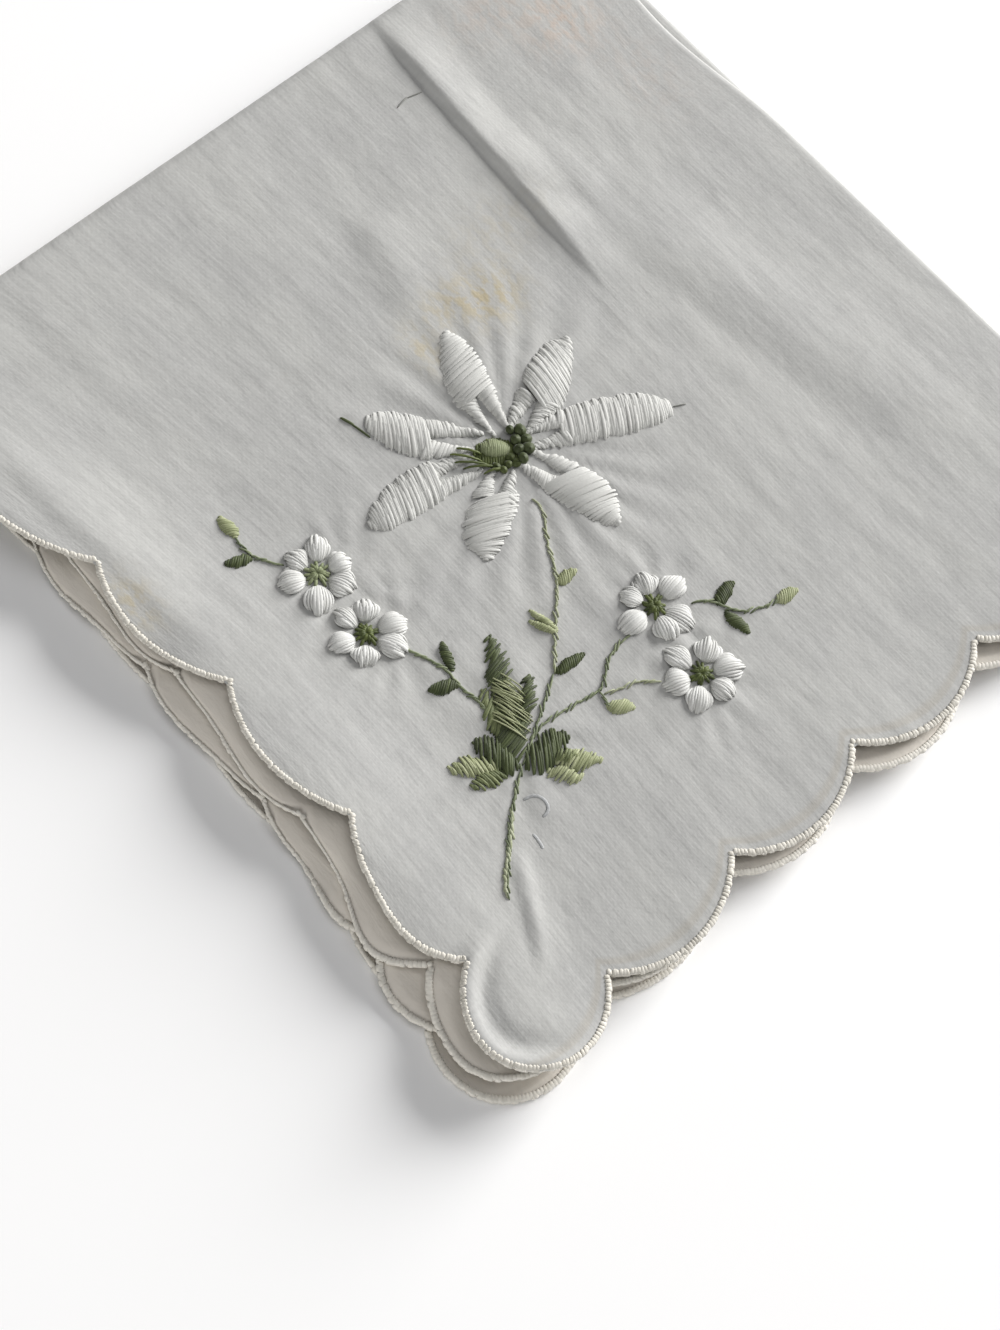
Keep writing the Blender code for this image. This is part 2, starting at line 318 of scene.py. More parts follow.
# %% Fold the flat cloth
def fold(across, along):
    """Where points of the flat square come to lie, as an (n, 3) array, and their layer shares."""
    across, along = np.asarray(across, float), np.asarray(along, float)
    run_x, side_height = bend(across, CREASE_QUARTER, CREASE_RADIUS)
    run_y, height = bend(along, NESTED_QUARTER, NESTED_RADIUS + side_height)
    side = side_height / CREASE_RADIUS
    pair = height / (NESTED_RADIUS + side_height)
    y = NESTED_CREASE_Y - run_y
    dent = DENT_DEPTH * smooth(1 - np.abs(y - DENT_MIDDLE_Y) / DENT_HALF_LENGTH)
    dent = dent * (1 - smooth(run_x / DENT_REACH))
    x = LOWER_CREASE_X + (UPPER_CREASE_X - LOWER_CREASE_X - dent) * (1 + pair) / 2 - run_x
    z = MIDDLE_HEIGHT + height
    shares = ((1 + pair) * (1 + side) / 4, (1 + pair) * (1 - side) / 4,
              (1 - pair) * (1 - side) / 4, (1 - pair) * (1 + side) / 4)
    z = z + shares[0] * top_relief(UPPER_CREASE_X - run_x, y)
    for share, layer in zip(shares, LAYERS.values()):
        move_x, move_y, up = rest_of_layer(layer, run_x, run_y)
        x, y, z = x + share * move_x, y + share * move_y, z + share * up
    return np.stack([x, y, z], -1), shares


def flat_place(x, y):
    """The flat square's point that ends up on the top layer at x, y, in metres."""
    across = UPPER_CREASE_X + CREASE_QUARTER - np.asarray(x, float)
    along = NESTED_CREASE_Y + NESTED_QUARTER - np.asarray(y, float)
    for _ in range(6):
        there, _ = fold(across, along)
        across = across + there[..., 0] - x
        along = along + there[..., 1] - y
    return across, along


def on_cloth(x, y, above=0.0):
    """Points on the top layer's upper face, from places in millimetres and a height over it."""
    across, along = flat_place(np.asarray(x, float) * MM, np.asarray(y, float) * MM)
    points, _ = fold(across, along)
    points[..., 2] += CLOTH_THICKNESS / 2 + np.asarray(above) * MM
    return points


print("flower centre at height", round(float(on_cloth(*FLOWER)[2]) / MM, 2), "mm")

# %% [markdown]
# ## The sheet
#
# The cloth is a thin sheet of quads with Solidify for its thickness. A plain grid would cut
# straight through the scallops, so the grid is pulled onto the outline first, like paper
# stretched over a template: the pull is full at the edge and gone 25 mm further in. Lines lie
# close together on the quarter that shows and further apart on what is folded under.

# %% Lines of the sheet
PULL_DEPTH = 25.0 * MM
FINE = 1.12 * MM
COARSE = 2.9 * MM
TUCK_LINES = (36.0 * MM, 50.0 * MM, 0.6 * MM)
MIDDLE_ZONE = 5.0 * MM
MIDDLE_STEP = 0.6 * MM


def lines(tuck):
    """Grid lines from one edge to the other: coarse under, fine on top, finest where it bends."""
    under = np.linspace(-HALF_SIDE, -MIDDLE_ZONE, round((HALF_SIDE - MIDDLE_ZONE) / COARSE), False)
    turn = np.arange(-MIDDLE_ZONE, MIDDLE_ZONE, MIDDLE_STEP)
    if not tuck:
        top = np.linspace(MIDDLE_ZONE, HALF_SIDE, round((HALF_SIDE - MIDDLE_ZONE) / FINE) + 1)
        return np.concatenate([under, turn, top])
    start, end, step = TUCK_LINES
    before = np.linspace(MIDDLE_ZONE, start, round((start - MIDDLE_ZONE) / FINE), False)
    beside = np.linspace(start, end, round((end - start) / step), False)
    after = np.linspace(end, HALF_SIDE, round((HALF_SIDE - end) / FINE) + 1)
    return np.concatenate([under, turn, before, beside, after])


print("lines across and along:", len(lines(tuck=True)), len(lines(tuck=False)))


# %% Pull the grid onto the outline
def pull_onto_outline(s, t):
    """Moves a square grid's points so that its border becomes the scalloped outline."""
    low_x, low_y = lower_side(s)
    side_x, side_y = lower_side(t)
    near_low = smooth(1 - (HALF_SIDE + t) / PULL_DEPTH)
    near_high = smooth(1 - (HALF_SIDE - t) / PULL_DEPTH)
    near_left = smooth(1 - (HALF_SIDE + s) / PULL_DEPTH)
    near_right = smooth(1 - (HALF_SIDE - s) / PULL_DEPTH)
    corner = lower_side(np.array([-HALF_SIDE]))[0][0] + HALF_SIDE
    move_s = (near_low + near_high) * (low_x - s) + (near_left - near_right) * (side_y + HALF_SIDE)
    move_t = (near_low - near_high) * (low_y + HALF_SIDE) + (near_left + near_right) * (side_x - t)
    across_corner = (near_low + near_high) * (near_left - near_right)
    along_corner = (near_low - near_high) * (near_left + near_right)
    return s + move_s - across_corner * corner, t + move_t - along_corner * corner


grid_s, grid_t = np.meshgrid(lines(tuck=True), lines(tuck=False))
across, along = pull_onto_outline(grid_s, grid_t)
print("the pull moves points by up to", round(float(np.abs(across - grid_s).max()) / MM, 1), "mm")


# %% Make the sheet
def mesh_from(name, points, faces):
    """A smooth object with this mesh, in the scene."""
    mesh = bpy.data.meshes.new(name)
    mesh.from_pydata(points.tolist(), [], faces)
    mesh.polygons.foreach_set("use_smooth", np.ones(len(mesh.polygons), bool))
    obj = bpy.data.objects.new(name, mesh)
    bpy.context.scene.collection.objects.link(obj)
    return obj


def point_attribute(mesh, name, values):
    """Stores one value at each point of a mesh, for its material to read."""
    mesh.attributes.new(name, "FLOAT", "POINT").data.foreach_set("value", np.ravel(values))


rows, columns = across.shape
points, shares = fold(across, along)
index = np.arange(rows * columns).reshape(rows, columns)
quads = np.stack([index[:-1, :-1], index[:-1, 1:], index[1:, 1:], index[1:, :-1]], -1).reshape(-1, 4)
cloth = mesh_from("linen_cloth", points.reshape(-1, 3), quads.tolist())
loops = np.empty(len(cloth.data.loops), int)
cloth.data.loops.foreach_get("vertex_index", loops)
flat = np.stack([across.ravel(), along.ravel()], -1)
cloth.data.uv_layers.new(name="flat_cloth").data.foreach_set("uv", flat[loops].ravel())
solidify = cloth.modifiers.new("thickness", "SOLIDIFY")
solidify.thickness = CLOTH_THICKNESS
solidify.offset = 0.0
print("sheet:", rows, "x", columns, "lines,", len(quads), "quads")

# %% [markdown]
# ## What the cloth carries with it
#
# Age and use leave marks: a yellow bloom where the folded cloth has lain against something, and
# a faint pink one by the crease. They belong to the cloth and not to the light, so they are
# stored on the mesh as soft values at each point, and the material reads them later. The share
# of the top layer is stored too. With the distance from the edge it places a painted light: a
# lighter beige cast on the layers underneath, near their edges, that stands in for light on
# their shaded walls. The distance from the low edge is kept as well, because the edge of the
# layer below shows through the thin top layer as a faint band.

# %% Marks, as values on the cloth's points
YELLOW_MARKS = (
    # x, y, how far it spreads along X and Y in mm, strength
    (12.9, 24.9, 5.5, 4.5, 0.75),
    (6.5, 28.5, 6.0, 3.5, 0.45),
    (-2.3, 24.3, 2.2, 4.0, 0.55),
    (-66.2, 19.9, 2.6, 4.5, 0.6),
    (23.0, 34.0, 9.0, 5.0, 0.2),
)
PINK_MARKS = (
    # the same, for the pink mark by the crease
    (60.0, 57.0, 7.0, 6.0, 0.7),
    (52.0, 66.0, 9.0, 5.0, 0.35),
    (64.0, 40.0, 6.0, 9.0, 0.2),
)


def marks(spots):
    """How strongly a set of spots marks each point, on the top layer only."""
    x, y = points[..., 0] / MM, points[..., 1] / MM
    total = 0
    for spot_x, spot_y, wide, tall, strength in spots:
        total = total + strength * np.exp(-(((x - spot_x) / wide) ** 2) - ((y - spot_y) / tall) ** 2)
    return shares[0] * np.clip(total, 0, 1)


cloth_values = {
    "top": shares[0],
    "from_edge": (HALF_SIDE - np.maximum(np.abs(grid_s), np.abs(grid_t))) / MM,
    "from_low_edge": (HALF_SIDE - np.abs(grid_t)) / MM,
    "yellowed": marks(YELLOW_MARKS),
    "pinked": marks(PINK_MARKS),
}
for name, values in cloth_values.items():
    point_attribute(cloth.data, name, values)
    print(f"{name}: {values.min():.2f} to {values.max():.2f}")

# %% [markdown]
# ## Helpers for materials
#
# Colours are chosen as they look on a screen and turned into the linear values that a shader
# works with. One function adds a node, sets it up, wires it and gives back one of its outputs,
# so that a material reads as a list of its steps. Two colours are blended by a Mix node, whose
# colour sockets only have numbers, so those numbers get names here.

# %% Colour and node helpers
def linear(hex_colour):
    """An sRGB colour such as C8C7C3 as linear red, green, blue and alpha."""
    channels = [int(hex_colour[start:start + 2], 16) / 255 for start in (0, 2, 4)]
    curve = [c / 12.92 if c <= 0.04045 else ((c + 0.055) / 1.055) ** 2.4 for c in channels]
    return (*curve, 1.0)


# A Mix node's sockets for colours: its share, the two colours, and what comes out.
SHARE, UNDER, OVER, BLENDED = 0, 6, 7, 2


def add_node(tree, kind, sockets, output=0, **settings):
    """Adds a node with its settings, fills or links its sockets, and gives one output."""
    node = tree.nodes.new("ShaderNode" + kind)
    for name, value in settings.items():
        setattr(node, name, value)
    for name, value in sockets.items():
        if isinstance(value, bpy.types.NodeSocket):
            tree.links.new(value, node.inputs[name])
        else:
            node.inputs[name].default_value = value
    return node.outputs[output]


def add_up(tree, parts):
    """The sum of several values, each times its weight."""
    total = 0.0
    for value, weight in parts:
        total = add_node(tree, "Math", {0: value, 1: weight, 2: total}, operation="MULTIPLY_ADD")
    return total


def new_material(name, surface):
    """A material that isn't metal, with the shader's sockets that are the same all over."""
    made = bpy.data.materials.new(name)
    made.use_nodes = True
    shader = made.node_tree.nodes["Principled BSDF"]
    for socket, value in {"Metallic": 0.0, "IOR": 1.5, **surface}.items():
        shader.inputs[socket].default_value = value
    return made, made.node_tree, shader


print("washed linen grey in linear light:", [round(channel, 3) for channel in linear("B6B6B3")])

# %% [markdown]
# ## Washed linen
#
# Handkerchief linen is a plain weave of flax that thickens and thins, so single threads show as
# fine streaks. It has 25 threads or more to the centimetre. Here it is drawn with 22, because
# finer ones would not show. An image of cloth would repeat and blur. The weave is two sets of
# waves laid along the flat cloth, so it follows every fold, and noise drawn out along the
# threads makes the slubs. The colour is built up as a dyer would: a cool off-white ground, and
# thin coats over it, each with its own share. One coat is painted light and not dye: it makes
# the lower layers lighter and beige near their edges, where they lie in shade. It is matt and a
# little grey, as linen stays after many washes.

# %% What varies over the linen
THREAD_SPACING = 0.46 * MM
WAVE_CYCLE = 2 * math.pi / 20  # a wave texture runs one cycle in this length at scale 1
BUMP_DISTANCE = 0.08 * MM
UNEVENNESS = {
    # size across the warp and along it in mm, and how finely it is broken up
    "slubs": (0.55, 14.0, 2.0),
    "cross_slubs": (9.0, 0.5, 2.0),
    "clouds": (16.0, 22.0, 3.0),
    "blotches": (1.6, 2.6, 4.0),
    "patches": (3.4, 6.5, 5.0),
    "rumples": (2.9, 8.0, 3.0),
}
FADES = {
    # what it follows, the values where it starts and ends, and its share at those two
    "clouded": ("clouds", 0.3, 0.7, 0.0, 1.0),
    "streaked": ("threads", 0.3, 0.7, 0.0, 0.34),
    "greyed": ("patches", 0.42, 0.72, 0.0, 0.3),
    # The next two shares place a painted light: the lower layers, near their edges, are made lighter and
    # beige to stand in for light on their shaded walls.
    "painted_light_beneath": ("top", 0.0, 1.0, 0.85, 0.0),
    "outside": ("from_edge", 30.0, 90.0, 1.0, 0.0),
    "speckled": ("blotches", 0.4, 0.62, 0.15, 1.0),
    "hem_starts": ("from_low_edge", 1.8, 2.5, 0.0, 0.35),
    "hem_ends": ("from_low_edge", 2.9, 4.2, 1.0, 0.0),
}
GROUND_COLOUR = "AFAFAD"
COATS = (
    # colour, and the shares that are multiplied to give its own
    ("B6B6B3", ["clouded"]),
    ("C5C5C2", ["streaked"]),
    ("A5A5A3", ["greyed"]),
    # Painted light: a light beige on the lower layers near their edges, standing in for light in the top
    # layer's shade.
    ("E2DBD0", ["painted_light_beneath", "outside"]),
    ("B6A988", ["yellowed", "speckled"]),
    ("BFAFA2", ["pinked", "speckled"]),
    ("A9A295", ["hem_starts", "hem_ends"]),
)
HEIGHTS = {"weave": 0.3, "threads": 0.9, "blotches": 1.7, "rumples": 2.6}
print("linen threads to the centimetre:", round(10 * MM / THREAD_SPACING, 1))


# %% The linen material
def linen_values(tree):
    """Everything that the linen's colour and relief follow, by name."""
    flat_cloth = add_node(tree, "UVMap", {}, uv_map="flat_cloth")
    values = {}
    for name, (wide, long, detail) in UNEVENNESS.items():
        scale = (1 / (wide * MM), 1 / (long * MM), 1)
        laid = add_node(tree, "Mapping", {"Vector": flat_cloth, "Scale": scale})
        sockets = {"Vector": laid, "Scale": 1.0, "Detail": detail, "Roughness": 0.55}
        values[name] = add_node(tree, "TexNoise", sockets, output="Fac", noise_dimensions="2D")
    values["threads"] = add_up(tree, ((values["slubs"], 0.6), (values["cross_slubs"], 0.4)))
    for name in cloth_values:
        values[name] = add_node(tree, "Attribute", {}, output="Fac", attribute_name=name)
    for name, (followed, start, end, at_start, at_end) in FADES.items():
        sockets = {"Value": values[followed], "From Min": start, "From Max": end}
        sockets.update({"To Min": at_start, "To Max": at_end})
        values[name] = add_node(tree, "MapRange", sockets, interpolation_type="SMOOTHSTEP")

    # Over and under of a plain weave: two crossed waves, multiplied.
    crossed = []
    for direction in ("X", "Y"):
        sockets = {"Vector": flat_cloth, "Scale": WAVE_CYCLE / (2 * THREAD_SPACING)}
        sockets.update({"Distortion": 1.1, "Detail": 1.0, "Detail Scale": 0.25})
        wave = add_node(tree, "TexWave", sockets, output="Fac", wave_type="BANDS", bands_direction=direction)
        crossed.append(add_node(tree, "Math", {0: wave, 1: 0.5}, operation="SUBTRACT"))
    values["weave"] = add_node(tree, "Math", dict(enumerate(crossed)), operation="MULTIPLY")
    return values


def washed_linen():
    """Washed flax, plainly woven. To the eye: matt, cool off-white, finely streaked and dented."""
    made, tree, shader = new_material("washed_linen", {
        "Roughness": 0.92,
        "Specular IOR Level": 0.25,
        "Sheen Weight": 0.15,
        "Sheen Roughness": 0.5,
    })
    values = linen_values(tree)
    colour = linear(GROUND_COLOUR)
    for coat, factors in COATS:
        share = values[factors[0]]
        for factor in factors[1:]:
            share = add_node(tree, "Math", {0: share, 1: values[factor]}, operation="MULTIPLY")
        sockets = {SHARE: share, UNDER: colour, OVER: linear(coat)}
        colour = add_node(tree, "Mix", sockets, output=BLENDED, data_type="RGBA")
    tree.links.new(colour, shader.inputs["Base Color"])
    relief = add_up(tree, [(values[name], weight) for name, weight in HEIGHTS.items()])
    sockets = {"Strength": 0.52, "Distance": BUMP_DISTANCE, "Height": relief}
    tree.links.new(add_node(tree, "Bump", sockets), shader.inputs["Normal"])
    print(made.name, "has", len(tree.nodes), "nodes")
    return made


cloth.data.materials.append(washed_linen())

# %% [markdown]
# ## One stitch, modelled once
#
# All embroidery is short lengths of thread that come up through the cloth, lie over it and go
# down again. So one stitch is modelled once: a small sphere, drawn out along X and blunted at
# its ends. Every other stitch is a copy, bent along its own curve between the two holes. Curves
# with a bevel could do it as well, but thousands of them would be far heavier than one joined
# mesh of small copies.

# %% The stitch that is copied
BLUNT_POWER = 0.55


def take_template(obj):
    """A modelled object's points and faces, to copy from. The object itself isn't kept."""
    points = np.array([vert.co for vert in obj.data.vertices])
    faces = [list(face.vertices) for face in obj.data.polygons]
    bpy.data.objects.remove(obj, do_unlink=True)
    return points, faces


def model_stitch(sides, rings):
    """A spindle from -1 to 1 along X, with blunt ends: its points and its faces."""
    bpy.ops.object.select_all(action="DESELECT")
    bpy.ops.mesh.primitive_uv_sphere_add(segments=sides, ring_count=rings, radius=1.0)
    bpy.ops.object.mode_set(mode="EDIT")
    bpy.ops.mesh.select_all(action="SELECT")
    bpy.ops.transform.rotate(value=math.pi / 2, orient_axis="Y", center_override=(0, 0, 0))
    bpy.ops.mesh.normals_make_consistent(inside=False)
    bpy.ops.object.mode_set(mode="OBJECT")
    points, faces = take_template(bpy.context.active_object)
    around = np.hypot(points[:, 1], points[:, 2])
    blunt = np.where(around > 0, around**BLUNT_POWER / np.maximum(around, 1e-9), 0)
    points[:, 1:] *= blunt[:, None]
    return points, faces


LONG_STITCH = model_stitch(sides=6, rings=9)
SHORT_STITCH = model_stitch(sides=6, rings=6)
print("stitch faces:", len(LONG_STITCH[1]), "and", len(SHORT_STITCH[1]))

# %% [markdown]
# ## Laying stitches
#
# A stitch's curve has four control points: where it comes up, two over the cloth that set how
# high it stands, and where it goes down. Its thread has a width and a height, and a tone of its
# own, because no two strands catch the light alike. The stitches of one colour are gathered
# first and made into one mesh at the end. Each could be an object of its own, but thousands of
# objects are slow to handle.

# %% Laying stitches
CURVE_PEAK = 0.75  # a cubic curve gets this far towards its two middle control points


def join_copies(name, placed, faces, size, tones, along, material):
    """One mesh of copies with size points each, their points placed one copy after another."""
    starts = range(0, len(placed), size)
    copies = [[start + corner for corner in face] for start in starts for face in faces]
    obj = mesh_from(name, placed, copies)
    point_attribute(obj.data, "tone", tones)
    point_attribute(obj.data, "along", np.broadcast_to(along, len(placed)))
    obj.data.materials.append(material)
    print(name, len(starts), "copies,", len(copies), "faces")
    return obj


class Stitches:
    """Stitches of one colour of thread, gathered until they are made into one mesh."""

    def __init__(self, name, template):
        self.name = name
        self.template = template
        self.routes, self.sides, self.sizes, self.tones = [], [], [], []

    def add(self, routes, sides, widths, heights, tones):
        """Adds stitches by their control points, the way across each, their sizes and tones."""
        self.routes.append(np.asarray(routes, float))
        self.sides.append(np.asarray(sides, float))
        count = len(routes)
        self.sizes.append(np.stack([np.broadcast_to(widths, count), np.broadcast_to(heights, count)], 1))
        self.tones.append(np.broadcast_to(tones, count))

    def lay(self, start, end, width, height, rise, tones, flat_ends=0.12, sunk=0.12):
        """Adds stitches over the cloth, from start to end, each (n, 2) in millimetres."""
        start, end = np.asarray(start, float), np.asarray(end, float)
        shares = (0.0, flat_ends, 1 - flat_ends, 1.0)
        crest = np.asarray(rise) / CURVE_PEAK
        over = (-sunk, crest, crest, -sunk)
        controls = []
        for share, above in zip(shares, over):
            place = start + (end - start) * share
            controls.append(on_cloth(place[:, 0], place[:, 1], np.broadcast_to(above, len(start))))
        routes = np.stack(controls, 1)
        chord = routes[:, 3] - routes[:, 0]
        sides = np.cross((0, 0, 1), chord)
        self.add(routes, sides, width * MM, height * MM, tones)

    def make(self, material):
        """Copies the template along every stitch, and joins the copies in one mesh."""
        points, faces = self.template
        routes, sides = np.concatenate(self.routes), np.concatenate(self.sides)
        sizes, tones = np.concatenate(self.sizes), np.concatenate(self.tones)
        run = (points[:, 0] + 1) / 2
        back = 1 - run
        weights = np.stack([back**3, 3 * back**2 * run, 3 * back * run**2, run**3], 1)
        slopes = np.stack([-(back**2), back**2 - 2 * back * run, 2 * back * run - run**2, run**2], 1)
        centre = np.einsum("vk,nkd->nvd", weights, routes)
        ahead = np.einsum("vk,nkd->nvd", slopes, routes)
        sides = sides / np.linalg.norm(sides, axis=1)[:, None]
        across = np.broadcast_to(sides[:, None], centre.shape)
        up = np.cross(ahead, across)
        up /= np.maximum(np.linalg.norm(up, axis=2), 1e-12)[..., None]
        wide = sizes[:, 0, None, None] / 2 * points[:, 1][None, :, None]
        tall = sizes[:, 1, None, None] / 2 * points[:, 2][None, :, None]
        placed = (centre + across * wide + up * tall).reshape(-1, 3)
        tones = np.repeat(tones, len(points))
        along = np.tile(run, len(routes))
        return join_copies(self.name, placed, faces, len(points), tones, along, material)


# %% [markdown]
# ## Embroidery thread
#
# The thread is mercerised cotton: soft strands with a faint silky shine, brighter than the matt
# linen under it. Each strand has a tone of its own between two colours, and turns to another
# colour at each end, where it dives into the cloth, which is what lets the eye count the
# stitches. That end colour is painted light: a painted shade on most threads, and a painted
# highlight on the large flower's petals. One function makes every colour of thread, because
# only the dye and the painted end colour differ.

# %% Thread materials
FUZZ_SIZE = 0.35 * MM
FUZZ_DEPTH = 0.05 * MM
# The ends' colour is painted light: shade on most threads, a highlight on the large petals.
PAINTED_END_SHARE = 0.12  # how much of a stitch, at each end, takes the ends' colour


def cotton_thread(name, deep, light, ends=None, painted_end_strength=0.45):
    """Silky strands that run between two tones, and turn at each stitch's ends to a painted end colour: the
    deep tone as painted shade, unless ends gives another.
    """
    made, tree, shader = new_material(name, {
        "Roughness": 0.6,
        "Specular IOR Level": 0.35,
        "Sheen Weight": 0.2,
        "Sheen Roughness": 0.4,
    })
    tone = add_node(tree, "Attribute", {}, output="Fac", attribute_name="tone")
    along = add_node(tree, "Attribute", {}, output="Fac", attribute_name="along")
    place = add_node(tree, "TexCoord", {}, output="Object")
    fuzz = add_node(tree, "TexNoise", {"Vector": place, "Scale": 1 / FUZZ_SIZE, "Detail": 2.0}, output="Fac")
    sockets = {SHARE: add_up(tree, ((tone, 0.7), (fuzz, 0.3))), UNDER: linear(deep), OVER: linear(light)}
    strand = add_node(tree, "Mix", sockets, output=BLENDED, data_type="RGBA")
    to_other_end = add_node(tree, "Math", {0: 1.0, 1: along}, operation="SUBTRACT")
    from_end = add_node(tree, "Math", {0: along, 1: to_other_end}, operation="MINIMUM")
    sockets = {"Value": from_end, "From Max": PAINTED_END_SHARE, "To Min": painted_end_strength, "To Max": 0.0}
    painted_end = add_node(tree, "MapRange", sockets, interpolation_type="SMOOTHSTEP")
    # Painted end colour: the deep tone as painted shade, unless an ends colour is given, as for the petals'
    # painted highlight.
    sockets = {SHARE: painted_end, UNDER: strand, OVER: linear(ends or deep)}
    colour = add_node(tree, "Mix", sockets, output=BLENDED, data_type="RGBA")
    tree.links.new(colour, shader.inputs["Base Color"])
    bump = add_node(tree, "Bump", {"Strength": 0.5, "Distance": FUZZ_DEPTH, "Height": fuzz})
    tree.links.new(bump, shader.inputs["Normal"])
    return made


# White cotton: a soft white satin on the large flower, a crisper white on the small ones, and a
# warm cream on the edge that shows it is older than the rest. The large flower's strand ends
# turn lighter, a painted highlight. The small flowers' ends turn darker, a painted shade. The
# edge's ends take a cream of their own, painted in the same way.
PETAL_WHITE = cotton_thread("white_cotton", "B8B8B4", "C4C4C0", "D8D8D5", 0.6)
BLOOM_WHITE = cotton_thread("bright_white_cotton", "BEBEBA", "D6D6D3", "AFAFAA", 0.4)
EDGE_CREAM = cotton_thread("cream_edging_cotton", "C0BCB1", "EEEAE1", "D0CCC1", 0.3)
# Green cotton: a deep, nearly black green and three olives, so that the leaves look shaded.
# Like every thread without an ends colour, these darken to their deep tone at the strand ends, a painted
# shade.
DARK_GREEN = cotton_thread("dark_green_cotton", "2B3319", "545E38")
OLIVE_GREEN = cotton_thread("olive_cotton", "555E3B", "82895F")
SAGE_GREEN = cotton_thread("sage_cotton", "80875F", "ACB08C")
MOSS_GREEN = cotton_thread("moss_cotton", "363F1E", "66703C")
PALE_GREEN = cotton_thread("pale_green_cotton", "6F7854", "949B79")
# Faded cotton on the stems: dusty, and hardly darker than the cloth at the pale end.
PALE_STEM = cotton_thread("pale_stem_cotton", "858B6B", "ABAF95")
GREY_STEM = cotton_thread("grey_green_cotton", "5A6449", "858D6E")
# Stray strands: a soiled grey on the cloth, and a bluish shade for one that shows through it.
GREY_STRAND = cotton_thread("grey_strand", "7C7D78", "949590")
VEILED_STRAND = cotton_thread("veiled_strand", "9FA1A2", "A9AAAA")
random = np.random.RandomState(7)
print("threads:", [made.name for made in bpy.data.materials if "cotton" in made.name])

# %% [markdown]
# ## The large flower
#
# Seven long petals in padded satin stitch: strands laid side by side across each petal, over a
# padding that makes it stand up. Near the middle each petal parts into two arms, with a narrow
# cleft of cloth between them, and the strand ends make a slightly ragged rim. A cushion with a
# picture of thread on it would look flat, so every strand is laid. One function stitches any
# petal from its length, width, slant and the share of its length that is parted.

# %% Shape of the petals
STRAND = 0.36
STRAND_WIDTHS = (0.64, 0.86)
STRAND_HEIGHT = 0.27
ARM_RISE, TOP_RISE = 0.3, 0.95
PETALS = (
    # direction in degrees; start, tip and width in mm; slant of the strands; bend to one side in
    # mm; share of the length that is parted; bluntness of the tip
    (74, 2.8, 22.3, 7.2, -0.35, 0.8, 0.38, 0.2),
    (21, 2.4, 22.6, 7.8, 0.60, -0.5, 0.36, 0.1),
    (-25, 2.4, 28.3, 7.2, 0.15, 1.0, 0.28, 0.9),
    (-79, 2.8, 21.6, 7.8, 0.45, 1.2, 0.40, 0.2),
    (-143, 4.2, 20.4, 7.8, -0.60, -0.8, 0.34, 0.1),
    (172, 6.2, 27.0, 7.2, 0.25, -1.2, 0.36, 0.5),
    (130, 4.6, 23.2, 7.4, -0.30, 1.0, 0.46, 0.6),
)
RIM_JITTER = 0.3


def petal_half(share, width, blunt):
    """Half the petal's width at shares of its length: narrow at the base, full at the middle."""
    growing = 1 - 0.62 * np.clip(1 - share / 0.5, 0, 1) ** 1.7
    past_middle = np.clip((share - 0.5) / 0.5, 0, 1)
    closing = (1 - past_middle ** (2.1 + 1.2 * blunt)) ** (0.85 - 0.3 * blunt)
    return width / 2 * growing * closing


def cleft_half(share, width, parted):
    """Half the gap between a petal's two arms, closing where they meet."""
    return 0.17 * width * np.clip(1 - share / parted, 0, 1) ** 0.8


def turned(direction, along, across, middle):
    """Places given along and across a direction, as (n, 2) places on the cloth."""
    cos, sin = math.cos(math.radians(direction)), math.sin(math.radians(direction))
    x = middle[0] + along * cos - across * sin
    y = middle[1] + along * sin + across * cos
    return np.stack([x, y], 1)


_, _, _, first_width, *_, first_blunt = PETALS[0]
print("the first petal is", 2 * petal_half(0.5, first_width, first_blunt), "mm wide at its middle")


# %% Stitch the petals
def stitch_petal(stitches, middle, direction, start, tip, width, slant, side_bend, parted, blunt):
    """Strands across both arms, and then from rim to rim up to the tip."""
    share = np.arange(0.0, 0.985, STRAND / (tip - start))
    share = share + random.uniform(-0.2, 0.2, len(share)) * STRAND / (tip - start)
    along = start + (tip - start) * share
    middle_line = side_bend * np.sin(np.pi * share)
    half = petal_half(share, width, blunt)
    cleft = cleft_half(share, width, parted)
    strands = [(share < parted, side) for side in (-1, 1)] + [(share >= parted - 0.02, 0)]
    for part, side in strands:
        count = part.sum()
        shift = random.uniform(-RIM_JITTER, RIM_JITTER, (2, count))
        lean = slant * half[part] * np.clip((1 - share[part]) / 0.2, 0.25, 1) if side == 0 else 0.5
        inner = side * cleft[part] if side else -half[part]
        outer = side * half[part] if side else half[part]
        near_rim = inner + shift[0] * (0.4 if side else 1)
        near = turned(direction, along[part] - lean, middle_line[part] + near_rim, middle)
        far = turned(direction, along[part] + lean, middle_line[part] + outer + shift[1], middle)
        if side:
            full = ARM_RISE + 0.4 * np.clip(share[part] / parted, 0, 1)
        else:
            full = TOP_RISE * half[part] / (width / 2)
        rise = np.clip(full, ARM_RISE, 1) * random.uniform(0.95, 1.05, count)
        widths = random.uniform(*STRAND_WIDTHS, count)
        stitches.lay(near, far, widths, STRAND_HEIGHT, rise, random.uniform(0.3, 1.0, count))


petals = Stitches("satin_petals", LONG_STITCH)
for petal in PETALS:
    stitch_petal(petals, FLOWER, *petal)
satin_petals = petals.make(PETAL_WHITE)

# %% [markdown]
# ## The small flowers
#
# Four small flowers have six round, plump petals each. Here the strands run lengthwise and bow
# apart in the middle of the petal, where they also stand highest, so that each petal is a little
# oval cushion with a gap of cloth beside it. A table places the flowers, and one function fans
# the strands of each petal.

